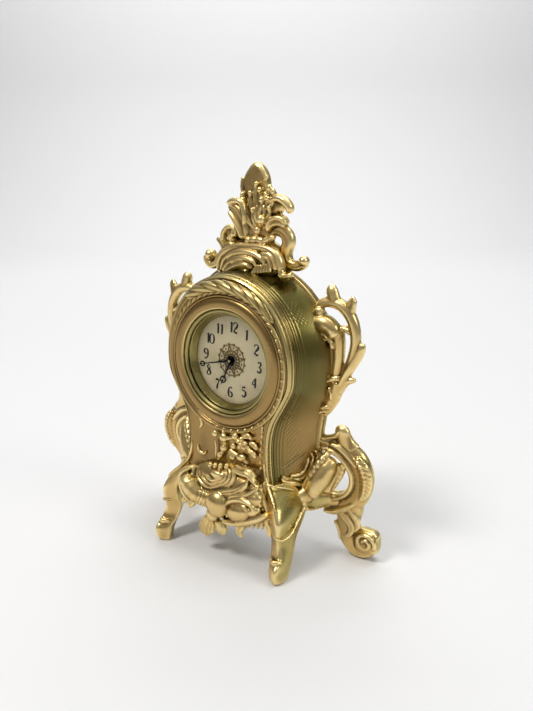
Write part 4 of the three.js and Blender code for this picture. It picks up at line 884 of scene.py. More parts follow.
@dataclass(frozen=True)
class Gilt(Finish):
    """Bronzed gilt casting with light and shade painted into its colour: a lit, coppery tone where it
    looks to the front and a shaded, greenish tone on the sides; rubbed ridges with a painted highlight;
    patina with painted shade in its hollows.
    """

    # front is the gilt with painted light and side the same gilt with painted shade; ridge is rubbed wear
    # with a painted highlight, groove is patina with painted shade
    front: Triple = (0.66, 0.45, 0.17)
    side: Triple = (0.44, 0.36, 0.12)
    ridge: Triple = (0.90, 0.70, 0.32)
    groove: Triple = (0.085, 0.052, 0.018)
    roughness: Pair = (0.25, 0.37)
    hollows: float = 0.85
    turning: Pair = (0.76, 1.0)
    coat: Pair = (0.18, 0.22)

    def build(self, mottle: Tree, wear: Tree) -> Material:
        """The material: colour with painted light and shade by how far it looks forwards and by the relief
        attribute, over rubbed wear and patina; roughness by clouds.

        Args:
            mottle: the shared clouds.
            wear: the shared group for rubbed wear and patina, with painted highlight and painted shade.

        Returns:
            The material.
        """
        material, tree, shader = self.start()
        clouds = node(tree, "ShaderNodeGroup", node_tree=mottle)
        relief = node(tree, "ShaderNodeAttribute", attribute_name="relief")
        facing_light = node(tree, "ShaderNodeAttribute", attribute_name="facing_light")
        # painted light: the front colour where the surface looks forwards, the shaded side colour elsewhere
        lit_front_share = ramped(tree, facing_light.outputs["Fac"], *self.turning, 0.0, 1.0)
        base = mixed(tree, lit_front_share, self.side, self.front)
        # painted highlight on ridges and painted shade in hollows, over rubbed wear and patina
        patina_and_shading = node(tree, "ShaderNodeGroup", node_tree=wear, Amount=self.hollows)
        patina_and_shading.inputs["Ridge"].default_value = (*self.ridge, 1.0)
        patina_and_shading.inputs["Groove"].default_value = (*self.groove, 1.0)
        link(tree, base, patina_and_shading.inputs["Base"])
        link(tree, relief.outputs["Fac"], patina_and_shading.inputs["Relief"])
        link(tree, clouds.outputs["Cloud"], patina_and_shading.inputs["Cloud"])
        link(tree, patina_and_shading.outputs["Color"], shader.inputs["Base Color"])
        rough = ramped(tree, clouds.outputs["Cloud"], 0.3, 0.7, *self.roughness)
        link(tree, rough, shader.inputs["Roughness"])
        bump = node(tree, "ShaderNodeBump", Strength=0.12, Distance=0.0003)
        link(tree, clouds.outputs["Height"], bump.inputs["Height"])
        link(tree, bump.outputs["Normal"], shader.inputs["Normal"])
        shader.inputs["Metallic"].default_value = 1.0
        shader.inputs["Coat Weight"].default_value = self.coat[0]
        shader.inputs["Coat Roughness"].default_value = self.coat[1]
        return material


@dataclass(frozen=True)
class Metal(Finish):
    """Plain machined metal with a brushed grain, cloudy tarnish and fine specks."""

    colour: Triple = (0.60, 0.48, 0.20)
    tarnish: Triple = (0.32, 0.24, 0.09)
    roughness: Pair = (0.2, 0.34)
    bump: float = 0.04
    most_tarnish: float = 0.5

    def build(self, mottle: Tree) -> Material:
        """The material: colour between clean metal and tarnish by the clouds.

        Args:
            mottle: the shared clouds.

        Returns:
            The material.
        """
        material, tree, shader = self.start()
        clouds = node(tree, "ShaderNodeGroup", node_tree=mottle, Scale=1.6)
        stain = ramped(tree, clouds.outputs["Cloud"], 0.42, 0.78, 0.0, self.most_tarnish)
        link(tree, mixed(tree, stain, self.colour, self.tarnish), shader.inputs["Base Color"])
        rough = ramped(tree, clouds.outputs["Cloud"], 0.3, 0.7, *self.roughness)
        link(tree, rough, shader.inputs["Roughness"])
        bump = node(tree, "ShaderNodeBump", Strength=self.bump, Distance=0.0002)
        link(tree, clouds.outputs["Height"], bump.inputs["Height"])
        link(tree, bump.outputs["Normal"], shader.inputs["Normal"])
        shader.inputs["Metallic"].default_value = 1.0
        return material


@dataclass(frozen=True)
class Enamel(Finish):
    """Painted dial or ink: a slightly yellowed coat with cloudy stains and a soft sheen."""

    colour: Triple = (0.72, 0.62, 0.40)
    stain: Triple = (0.50, 0.37, 0.17)
    roughness: Pair = (0.42, 0.6)

    def build(self, mottle: Tree) -> Material:
        """The material: paint and its stains mixed by the clouds and a few specks.

        Args:
            mottle: the shared clouds.

        Returns:
            The material.
        """
        material, tree, shader = self.start()
        clouds = node(tree, "ShaderNodeGroup", node_tree=mottle, Scale=2.0)
        stained = ramped(tree, clouds.outputs["Cloud"], 0.45, 0.85, 0.0, 0.6)
        specks = ramped(tree, clouds.outputs["Speck"], 0.62, 0.8, 0.0, 0.5)
        paint = mixed(tree, stained, self.colour, self.stain)
        link(tree, mixed(tree, specks, paint, self.stain), shader.inputs["Base Color"])
        rough = ramped(tree, clouds.outputs["Speck"], 0.3, 0.7, *self.roughness)
        link(tree, rough, shader.inputs["Roughness"])
        return material


@dataclass(frozen=True)
class Glass(Finish):
    """Thin flat dial glass, clear, with faint dust."""

    def build(self, mottle: Tree) -> Material:
        """The material: clear transmission, with dust that roughens it a little in clouds.

        Args:
            mottle: the shared clouds.

        Returns:
            The material.
        """
        material, tree, shader = self.start()
        clouds = node(tree, "ShaderNodeGroup", node_tree=mottle, Scale=1.5)
        rough = ramped(tree, clouds.outputs["Cloud"], 0.4, 0.8, 0.01, 0.05)
        link(tree, rough, shader.inputs["Roughness"])
        link(tree, mixed(tree, clouds.outputs["Cloud"], (1.0, 1.0, 0.99), (0.96, 0.97, 0.95)),
             shader.inputs["Base Color"])
        shader.inputs["Transmission Weight"].default_value = 1.0
        shader.inputs["IOR"].default_value = 1.05
        return material


@dataclass
class Finishes:
    """Every material of the clock, built once."""

    gilt: Material = field(init=False)
    body_gilt: Material = field(init=False)
    back_gilt: Material = field(init=False)
    brass: Material = field(init=False)
    sight_brass: Material = field(init=False)
    rosette: Material = field(init=False)
    steel: Material = field(init=False)
    blued: Material = field(init=False)
    dial: Material = field(init=False)
    ink: Material = field(init=False)
    glass: Material = field(init=False)

    def __post_init__(self) -> None:
        """Builds the shared groups and then each material."""
        mottle, wear = Effects.mottle(), Effects.wear()
        # One gilt twice: brighter for the ornaments, and a darker copy for the body with painted shade,
        # darkest on its sides
        self.gilt = Gilt("gilt_bronze").build(mottle, wear)
        self.body_gilt = Gilt(
            "gilt_bronze_shaded", (0.36, 0.228, 0.078), (0.132, 0.113, 0.029), (0.60, 0.48, 0.20),
            (0.06, 0.042, 0.014)
        ).build(mottle, wear)
        self.back_gilt = Metal("gilt_plain", (0.46, 0.34, 0.11), (0.26, 0.17, 0.05),
                               (0.32, 0.46)).build(mottle)
        self.brass = Metal("polished_brass").build(mottle)
        self.sight_brass = Metal("sight_brass", (0.40, 0.33, 0.125), (0.27, 0.21, 0.075), (0.28, 0.36),
                                 0.01).build(mottle)
        self.rosette = Metal("dark_brass", (0.24, 0.17, 0.075), (0.07, 0.05, 0.025), (0.3, 0.45),
                             0.2).build(mottle)
        self.steel = Metal("steel", (0.46, 0.46, 0.45), (0.25, 0.24, 0.22), (0.25, 0.4)).build(mottle)
        self.blued = Metal("blued_steel", (0.022, 0.022, 0.03), (0.012, 0.010, 0.010),
                           (0.35, 0.5)).build(mottle)
        self.dial = Enamel("cream_dial").build(mottle)
        self.ink = Enamel("black_ink", (0.012, 0.011, 0.010), (0.03, 0.022, 0.015)).build(mottle)
        self.glass = Glass("dial_glass").build(mottle)


@dataclass
class Body:
    """The flared body, its front plate, the dial surround and the twisted moulding.

    Attributes give the half widths and rises of the front and back arches, the points below them, and
    the place, depth and width of each reed.
    """

    depth: float = 26.5
    wall: float = 2.2
    flare: float = 1.35
    front_arch: Pair = (45.0, 50.0)
    back_arch: Pair = (55.5, 55.5)
    arch_end: float = -12.0
    front_lower: Points = ((37.5, 98), (32.5, 89), (30, 80), (29.5, 68), (30.5, 56), (32.5, 46))
    back_lower: Points = ((52, 98), (49, 90), (47.5, 81), (47, 66), (46.5, 50), (45.5, 36))
    bezel_radius: float = BEZEL_RADIUS
    surround_radius: float = 42.5
    plate_back: float = 1.2
    plate_front: float = -1.2
    rope_radius: float = 3.5
    rope_arch: float = 44.4
    rope_depth: float = -3.2
    rope_ends: Pair = (38.0, 126.0)
    reeds: Points = ((1.4, 0.36, 0.42), (3.0, 0.252, 0.4), (4.8, 0.204, 0.4), (6.5, 0.156, 0.4),
                     (8.6, 0.12, 0.5))
    streak_height: float = 0.035
    streak_pitch: float = 1.35
    lozenge_height: float = 0.18
    lozenge_pitch: float = 2.4

    def half_outline(self, arch: Pair, lower: Points, arch_count: int, low_count: int) -> Array:
        """Half an outline from the top of its arch down to the hem.

        The arch is an ellipse about the dial centre from straight up to a little below the level, and a
        smooth line runs on from it through the lower points; each part has its own number of steps.

        Args:
            arch: half width and rise.
            lower: points below the arch.
            arch_count: points on the arch.
            low_count: points below it.

        Returns:
            x and z of each point.
        """
        angle = np.radians(np.linspace(90.0, self.arch_end, 13))
        curve = np.stack([arch[0] * np.cos(angle), DIAL_HEIGHT + arch[1] * np.sin(angle)], axis=1)
        line = self.eased(smooth_line(np.concatenate([curve, np.asarray(lower, float)]), 0.25), 14)
        split = int(np.argmin(np.linalg.norm(line - curve[-1], axis=1)))
        upper = line[np.linspace(0, split, arch_count).round().astype(int)]
        below = line[np.linspace(split, len(line) - 1, low_count + 1).round().astype(int)][1:]
        return np.concatenate([upper, below])

    @staticmethod
    def eased(line: Array, reach: int) -> Array:
        """A line with its kinks rounded: each point is the mean of its neighbours within the reach."""
        padded = np.pad(line, ((reach, reach), (0, 0)), mode="reflect", reflect_type="odd")
        kernel = np.full(2 * reach + 1, 1.0 / (2 * reach + 1))
        return np.stack([np.convolve(padded[:, k], kernel, "valid") for k in range(2)], axis=1)

    def outline(self, arch: Pair, lower: Points) -> Array:
        """A whole outline, closed along the hem: the half outline, the hem, and the half mirrored."""
        half = self.half_outline(arch, lower, 165, 150)
        hem = np.linspace(half[-1], half[-1] * np.array([-1.0, 1.0]), 26)[1:-1]
        return np.concatenate([half, hem, half[:0:-1] * np.array([-1.0, 1.0])])

    @staticmethod
    def outward(outline: Array) -> Array:
        """Unit vectors that point out of a closed outline, square to its chord through each point."""
        chord = np.roll(outline, -1, axis=0) - np.roll(outline, 1, axis=0)
        return unit(np.stack([-chord[:, 1], chord[:, 0]], axis=1))

    def shell_relief(self, x: Array, y: Array, z: Array) -> Array:
        """Height of the carving on the body's sides.

        Reeds run beside the front edge as a row of grooves, finer streaks behind them are a sine of the
        depth that fades; a rim stands up at the back edge; a square and a long patch of small lozenges
        are the product of two absolute sines under a smooth mask, and a thin line ends the long one.

        Args:
            x: across.
            y: depth behind the body's front end.
            z: height.

        Returns:
            Heights in millimetres.
        """
        strength = climb(z, 47.0, 12.0) * (0.45 + 0.55 * climb(z, 118.0, 30.0))
        reeds = -sum(deep * bell(y, place, wide) for place, deep, wide in self.reeds)
        fade = climb(y, 19.0, -10.0) * np.clip(1.3 - np.abs(z - 84.0) / 60.0, 0.0, 1.0)
        wander = 1.2 * np.sin(z / 19.0)
        streaks = self.streak_height * fade * np.sin(2.0 * pi * y / self.streak_pitch + wander)
        step = 0.6 * climb(y, 2.9, -1.0)
        rim = 1.1 * climb(y, 24.6, 0.6)
        lattice = np.zeros_like(y)
        long_middle = 6.6 + 0.3 * (97.0 - z)
        for middle, height, half_y, half_z in ((11.5, 151.7, 4.2, 5.4), (long_middle, 80.5, 3.4, 15.5)):
            aside = y - middle
            across = np.clip(1.25 - np.abs(aside) / half_y, 0.0, 0.25) / 0.25
            tall = np.clip(1.2 - np.abs(z - height) / half_z, 0.0, 0.2) / 0.2
            turn = pi / self.lozenge_pitch
            cells = np.abs(np.sin(turn * (aside + z)) * np.sin(turn * (aside - z)))
            lattice = lattice + across * tall * self.lozenge_height * (np.sqrt(cells) - 0.5)
        end = bell(z - 0.72 * (y - 10.2), 61.4, 0.6) * np.clip(1.4 - np.abs(y - 13.8) / 4.0, 0.0, 0.4)
        on_sides = np.abs(x) > 20.0
        return (reeds + step + streaks) * strength + rim + (lattice + 1.2 * end) * on_sides

    def shell(self) -> Form:
        """The body wall: front and back outlines joined by a hollow flare, with an inner wall.

        At depth share t the section is the front outline plus t to the flare power of the way to the
        back one; the outer wall is raised by the relief along the section's outward direction.

        Returns:
            A closed form.
        """
        near = self.outline(self.front_arch, self.front_lower)
        far = self.outline(self.back_arch, self.back_lower)
        share = np.unique(np.concatenate([np.linspace(0, 0.36, 56), np.linspace(0.36, 1.0, 66)]))
        bend = (share**self.flare)[:, None, None]
        section = near[None] * (1.0 - bend) + far[None] * bend
        out = np.stack([self.outward(row) for row in section])
        deep = np.broadcast_to((share * self.depth)[:, None], section.shape[:2])
        raised = self.shell_relief(section[..., 0], deep, section[..., 1])
        edge = np.minimum(climb(deep, 0.0, 0.6), climb(deep, self.depth, -0.6))
        raised = raised - 0.5 * (1.0 - half_round(edge, 1.0, 1.0))
        outer = section + out * raised[..., None]
        inner = (section - out * self.wall)[::-1]
        y = BODY_FRONT + deep
        skin = np.stack([outer[..., 0], y, outer[..., 1]], axis=-1)
        lining = np.stack([inner[..., 0], y[::-1], inner[..., 1]], axis=-1)
        return grid(np.concatenate([skin, lining[::6]]), wrap_rows=True)

    def front_plate(self) -> Form:
        """The front of the case between the bezel hole and the outline.

        Rays from the dial centre run from the hole to the outline; along each the front is raised by a
        round edge bead, by two fine lines beside it, and sunk into a shallow hollow under the dial.

        Returns:
            A closed plate.
        """
        rim = self.outline(self.front_arch, self.front_lower)
        centre = np.array([0.0, DIAL_HEIGHT])
        away = rim - centre
        reach = np.linalg.norm(away, axis=1)
        ray = away / reach[:, None]
        hole = self.bezel_radius + 0.3
        part = np.linspace(0.0, 1.0, 76)[:, None]
        distance = hole + (reach - hole) * part
        x, z = (distance * ray[:, 0]), DIAL_HEIGHT + distance * ray[:, 1]
        gap = reach - distance
        lines = 0.8 * bell(gap, 1.1, 0.75) + 0.5 * bell(gap, 3.0, 0.55) + 0.35 * bell(gap, 4.6, 0.45)
        hollow = np.exp(-(((x + 12.0) / 11.0) ** 4)) * np.exp(-(((z - 68.0) / 14.0) ** 4))
        height = lines * climb(gap, 0.0, 0.5) - 0.9 * hollow
        front = np.stack([x, self.plate_front - height, z], axis=-1)
        flat = np.stack([x, np.full_like(x, self.plate_back), z], axis=-1)[[-1, 0]]
        return grid(np.concatenate([front, flat]), wrap_rows=True)

    def surround(self) -> Form:
        """The raised ring round the bezel.

        Its section over the radius is a broad half-oval band, a thin lip between two grooves and an
        outer band; the outer band is cut into slanting lobes over the dial and carries a few small beads
        down the right side.

        Returns:
            A closed ring.
        """
        inner, outer = self.bezel_radius + 0.3, self.surround_radius
        radius = np.linspace(inner, outer, 72)[:, None]
        angle = np.linspace(0.0, 2.0 * pi, 720, endpoint=False)[None, :]
        band = half_round(radius, 34.4, 3.5)
        lip = half_round(radius, 38.7, 0.7)
        border = half_round(radius, 41.0, 1.5)
        right = np.clip(np.cos(angle + 0.35) * 1.8, 0.0, 1.0)
        above = np.clip(np.sin(angle) * 2.2 - 0.7, 0.0, 1.0)
        slanting = 1.0 + lobes(26.0 * angle + 0.9 * (radius - 41.0))
        small = np.clip(np.sin(46.0 * angle) * 2.0 - 0.9, 0.0, 1.0) * bell(radius, 40.6, 0.9)
        cutting = 0.55 * (1.0 - above) + above * slanting
        beads = 0.75 * right * (1.0 - above) * small
        height = 0.5 + 1.7 * band + 0.75 * lip + (0.35 + 1.1 * cutting) * border + beads
        x = radius * np.cos(angle)
        z = DIAL_HEIGHT + radius * np.sin(angle)
        front = np.stack([x, self.plate_front - 0.3 - height, z], axis=-1)
        flat = np.stack([x, np.full_like(x, self.plate_front - 0.3), z], axis=-1)[[-1, 0]]
        return grid(np.concatenate([front, flat]), wrap_rows=True)

    def rope(self) -> Form:
        """The twisted moulding: a thick roll over the dial, cut by long askew lobes, thin to the right."""
        angle = np.radians(np.linspace(*self.rope_ends, 15))
        reach, deep = self.rope_arch, self.rope_depth
        points = [(reach * cos(a), deep, DIAL_HEIGHT + reach * sin(a)) for a in angle.tolist()]
        shares = [0.45, 0.7, 0.9, 1.0, 1.05, 1.05, 1.0, 0.75]
        half = [share * self.rope_radius for share in shares]
        tooling = Tooling(Carving.TWISTED, 0.8, 7.0, 3.6)
        return sweep(points, half, half, tooling, FRONT, (4.0, 3.0), sides=60, step=0.4)

    def make(self, bench: Bench, finishes: Finishes) -> None:
        """Builds and dresses the body's four pieces."""
        for name, form in (
            ("body_shell", self.shell()),
            ("front_plate", self.front_plate()),
            ("dial_surround", self.surround()),
            ("rope_moulding", self.rope()),
        ):
            piece = bench.casting(name + "_cast", form)
            # the body takes the shaded copy of the gilt, with painted shade
            bench.dress(piece, finishes.body_gilt, "case", [name], "gilt")


GROOVE = Tooling(Carving.GROOVED, 0.9)
RIBS3 = Tooling(Carving.RIBBED, 0.8, 3)


@dataclass
class Ornament:
    """A cast ornament: its name, the node that it stands for and how fine its casting is."""

    node: str
    voxel: float = 0.45
    soften: int = 3

    def forms(self) -> list[Form]:
        """The overlapping forms that are cast together; each ornament has its own."""
        return []

    def cast(self, bench: Bench) -> Form:
        return bench.fused(self.forms(), self.voxel * (1.0), self.soften)

    def make(self, bench: Bench, finishes: Finishes) -> None:
        """Casts and dresses the ornament."""
        piece = bench.casting(self.node + "_cast", self.cast(bench))
        bench.dress(piece, finishes.gilt, "case", [self.node], "gilt")


@dataclass
class PairedOrnament(Ornament):
    """An ornament of the right-hand side that is mirrored to the left."""

    def make(self, bench: Bench, finishes: Finishes) -> None:
        """Casts it once and dresses both copies."""
        right = self.cast(bench)
        for side, form in (("right", right), ("left", right.mirrored())):
            name = f"{self.node}_{side}"
            piece = bench.casting(name + "_cast", form)
            bench.dress(piece, finishes.gilt, "case", [name], "gilt")


@dataclass
class Crest(Ornament):
    """The crest over the arch: a shell swirl, scrolls, curled petals, a bunch of leaves and a dome."""

    node: str = "crest"

    def dome(self) -> list[Form]:
        """The smooth flat dome at the top, with a lobe on its left edge and a small leaf on its right."""
        edge = [(-3.4, 203), (-4, 215.8), (-4.3, 222.5), (-3.3, 226), (-1, 229.3), (1.7, 231.9), (4.4, 233),
                (7.1, 232), (9.6, 229.6), (11.6, 226.4), (12.5, 222.5), (12.5, 215), (12.2, 203)]
        return [
            slab(edge, 22.4, 29, 2.4),
            scroll(22.9, [(-3.6, 213), (-4.6, 219), (-4.4, 225.2)], [1, 1.3, 0.8]),
            scroll(22.2, [(10.8, 221.8), (13.2, 224.6), (14.4, 225.8)], [0.6, 0.9, 0.5], 1.2),
        ]

    def bunch(self) -> list[Form]:
        """The narrow leaves, buds and berries in front of the dome."""
        leaf = Tooling(Carving.GROOVED, 0.45)
        long_leaves = [
            [(7.7, 194.7), (2.4, 203.7), (-1.1, 209.9), (-3, 215.5)],
            [(8.5, 195.5), (4.6, 205.1), (2.5, 212), (2.9, 216.5)],
            [(9.4, 196.9), (8.1, 206.6), (6.4, 214.8), (7.1, 221.7)],
            [(10.2, 198.3), (11.1, 208), (9.9, 214.1), (10.1, 218.9)],
            [(11.1, 199), (13.3, 207.3), (15.3, 213.5), (16, 218.8)],
            [(11.6, 198.3), (15.6, 206.7), (18.3, 212.1), (18.6, 217.9)],
        ]
        short_leaves = [
            [(8.2, 197), (5.6, 202), (5.2, 207)], [(9.2, 199), (7.4, 204), (8.4, 209.4)],
            [(10.8, 200), (10.2, 206), (12.2, 211)],
            [(12.4, 199), (13.6, 204), (12.6, 209.4)], [(12.6, 198.6), (16.2, 203), (17.4, 208)],
            [(6.6, 196), (2.6, 200), (0.6, 205.4)],
        ]
        forms = [scroll(21, line, [0.8, 1.4, 1.7, 0.9], [1.6, 2, 2, 1.4], leaf) for line in long_leaves]
        forms += [scroll(19.6, line, [0.7, 1.2, 0.8], [1.4, 1.8, 1.2], leaf) for line in short_leaves]
        berries = [
            (12.8, 17, 201.3, 2.4), (10, 17.4, 195.3, 1.9), (11.4, 19.2, 212.1, 1.5),
            (15.2, 19.2, 213.1, 1.5),
            (7.2, 20.2, 220.8, 1.3), (16.4, 20, 218.6, 1.8), (18.4, 20.6, 216.6, 1.6), (-3, 21, 215, 1.5),
            (9.9, 19.6, 217.6, 1.4), (2.8, 20.2, 215.8, 1.3), (5.4, 18.8, 206.6, 1.2),
            (16.8, 18.8, 207.6, 1.4),
        ]
        forms += [bead((x, y, z), (r, r, r * 1.2)) for x, y, z, r in berries]
        forms += [bead((8.4, 22.6, 205), (8.4, 3.6, 12.5)), bead((16, 23.6, 213), (3.4, 2.6, 5))]
        return forms

    def petals(self) -> list[Form]:
        """The curled petals to both sides of the bunch."""
        return [
            scroll(20.6, [(-0.6, 189.6), (-1.6, 196.6), (-3.8, 202.4), (-7.8, 207), (-13, 208.8)],
                   [3.2, 4.4, 5, 4.6, 2.2], [2.8, 3.2, 3.2, 3, 2.2],
                   Tooling(Carving.RIBBED, 0.8, 2), (1, 3)),
            scroll(19.4, [(-0.2, 198), (-0.5, 206.5), (-2.9, 211), (-7.9, 211.6), (-13, 210)],
                   [1.4, 1.8, 2, 2, 1.6], [2.2, 2.6, 2.6, 2.4, 2], PLAIN, (2, 2)),
            scroll(18.8, [(-1.4, 190), (-3.6, 195.6), (-7.1, 200.7), (-11.6, 205.9)],
                   [1.6, 2, 1.9, 1.4], [2.2, 2.4, 2.2, 1.6], PLAIN, (2, 2)),
            scroll(22, [(14.2, 209.4), (18.6, 212.6), (22.8, 212.8), (26.5, 210.7), (28.8, 207.6),
                        (27.9, 204.8)], [1.8, 2.4, 2.6, 2.7, 2.6, 1.9], [2.4, 3, 3.4, 3.4, 3, 2.2],
                   PLAIN, (2, 2)),
            scroll(23.8, [(10.8, 198.3), (14, 205.6), (19, 208.8), (24.4, 208)], [3.6, 4.6, 4.8, 3.4], 2.2),
            scroll(20.4, [(14.2, 195.9), (16.6, 200.3), (21, 202.3), (25.2, 201.4), (27.2, 198.9)],
                   [1.4, 1.7, 1.8, 1.8, 1.4], [2.2, 2.4, 2.4, 2.2, 1.8]),
            scroll(21, [(14.2, 194.6), (17.6, 198.2), (22.6, 199.2), (26.2, 197.7)],
                   [1.3, 1.6, 1.6, 1.2], 2.2),
            scroll(24, [(13.6, 196), (18, 200), (23, 201), (26, 198)], [2.2, 3.2, 3.2, 2.2], 2.2),
        ]

    def scrolls(self) -> list[Form]:
        """The ribbon scroll on the right, and the volute, leaves and bud on the left."""
        return [
            scroll(25, [(12.6, 192), (17.2, 195.2), (22, 195.1), (25.4, 192.6), (26.3, 188.9), (25, 185),
                        (24.6, 181.5), (26.3, 177.7), (31, 176), (35.6, 177), (37.6, 179.2)],
                   [2.8, 3.2, 3.7, 4.1, 4.2, 3.9, 3.7, 3.4, 3.1, 3, 2.7], [3.2, 3.6, 3.8, 3.6, 3.4],
                   GROOVE, (1, 2.5)),
            bead((36.9, 24.4, 179), (3, 3.6, 3.1)),
            scroll(26, [(-17.4, 186), (-20.4, 182.4), (-24.4, 177.7), (-27, 174.2), (-31, 173.1),
                        (-34.4, 175.6), (-35, 179.4)], [2.2, 2.6, 2.8, 2.7, 2.6, 2.4, 1.6], 3.2,
                   Tooling(Carving.GROOVED, 0.7)),
            bead((-31.2, 25.2, 179.4), (3.5, 4, 3.5)),
            scroll(24, [(-16.6, 178.4), (-18.8, 184.3), (-21.6, 187.7), (-25.8, 189.3)], [2.6, 3, 2.5, 1],
                   [2.6, 2.8, 2.4, 1.2], GROOVE, (1, 2)),
            scroll(20.6, [(-15.4, 183.6), (-19, 178), (-20.4, 172.2), (-18.4, 169.4)], [1.6, 2.2, 1.9, 1.2],
                   2.4, GROOVE),
            bead((-11.6, 22.4, 192.4), (3.6, 3.4, 5.4)),
            scroll(20.6, [(-17.4, 187.8), (-16.6, 193.2), (-12.6, 196.6), (-8.6, 196.2), (-7.3, 193.6),
                          (-8.6, 190.8)], [1.5, 1.8, 1.8, 1.6, 1.3, 1], [2.6, 2.6, 2.4, 2.2]),
            bead((-9.4, 19.6, 193), (1.5, 1.6, 2.6)),
            bead((-12.6, 23, 184.8), (5, 4.2, 5.2)),
        ]

    def base(self) -> list[Form]:
        """The ruffle, the shell swirl in its rolls, the fan of short ribs, and the core behind them."""
        fan = [
            scroll([15.4, 13.9], [(11.6 + 1.45 * k, 176.2 + 0.3 * k), (7.8 + 2.2 * k, 170.6 + 0.3 * k)],
                   [0.8, 1], [1.4, 1.2], PLAIN, (0.6, 0.8))
            for k in range(7)
        ]
        ruffle = Tooling(Carving.BEADED, 0.45, 5)
        return [
            bead((2, 25, 181), (22, 8, 10.5)),
            bead((2, 26, 175), (27, 6.5, 6.5)),
            bead((4, 25.2, 193), (12.5, 6, 11)),
            bead((4.6, 26, 205), (9, 4.4, 14)),
            bead((13, 19.6, 174), (10.5, 4.6, 4.4)),
            scroll(18.6, [(0.6, 189.4), (9, 190), (14.7, 189.8), (21.3, 192.5)], [2.1, 2.4, 2.2, 1.7],
                   2.4, ruffle),
            scroll(18, [(-18.3, 170.8), (-17.7, 177.6), (-13, 182.6), (-4.6, 185.6), (4.5, 186),
                        (12.4, 185.9), (19.2, 184.5), (23.9, 181.3), (26, 176.6), (26, 172.2)],
                   [1.6, 2.2, 2.5, 2.6, 2.6, 2.6, 2.5, 2.4, 2.3, 1.8], 3, PLAIN, (2, 2)),
            scroll(16.8, [(13, 183), (19.8, 181.9), (22.8, 178.6), (23.4, 173.4)],
                   [1.3, 1.7, 1.7, 1.2], 2.6),
            scroll(16.2, [(13.6, 181), (18.5, 180.2), (20.5, 177.1), (21, 173.4)], [1, 1.4, 1.3, 0.9], 2.4),
            bead((-0.4, 19.6, 177.4), (14.6, 6.9, 7.2)),
            scroll([17.4, 16.6, 16.2, 16, 16, 16.2, 16.8],
                   [(-15.8, 171.4), (-12.8, 177.6), (-5.4, 182), (3.6, 183), (12, 181.2), (16.4, 177.6),
                    (14.8, 174.2)], [1.2, 2, 2.3, 2.3, 2.2, 1.8, 1], 2.6),
            scroll([17, 16, 15.4, 15, 15.2, 16.2], [(-14.2, 171), (-9.6, 175.6), (-2.6, 179), (4.4, 179.4),
                   (9.8, 177.8), (10.8, 175)], [1.2, 1.9, 2.2, 2.2, 1.9, 1], 2.6),
            scroll([16.6, 15.4, 14.8, 15, 16], [(-12.6, 170.6), (-6.8, 173.6), (-0.4, 175.8), (5, 175.8),
                                                (7.4, 174)], [1.2, 1.9, 2.2, 1.8, 1], 2.6),
            scroll(15.8, [(-12.4, 170), (-5.6, 170.4), (0.6, 171.6), (5, 172.8)],
                   [1.4, 2.2, 2.1, 1.2], 2.6),
            scroll(17.8, [(26, 174.6), (27, 171.4), (30.6, 170.8), (33.4, 172.6)], [2.2, 2.4, 2, 1.2], 2.8),
            *fan,
        ]

    def forms(self) -> list[Form]:
        """All forms of the crest."""
        return self.dome() + self.bunch() + self.petals() + self.scrolls() + self.base()


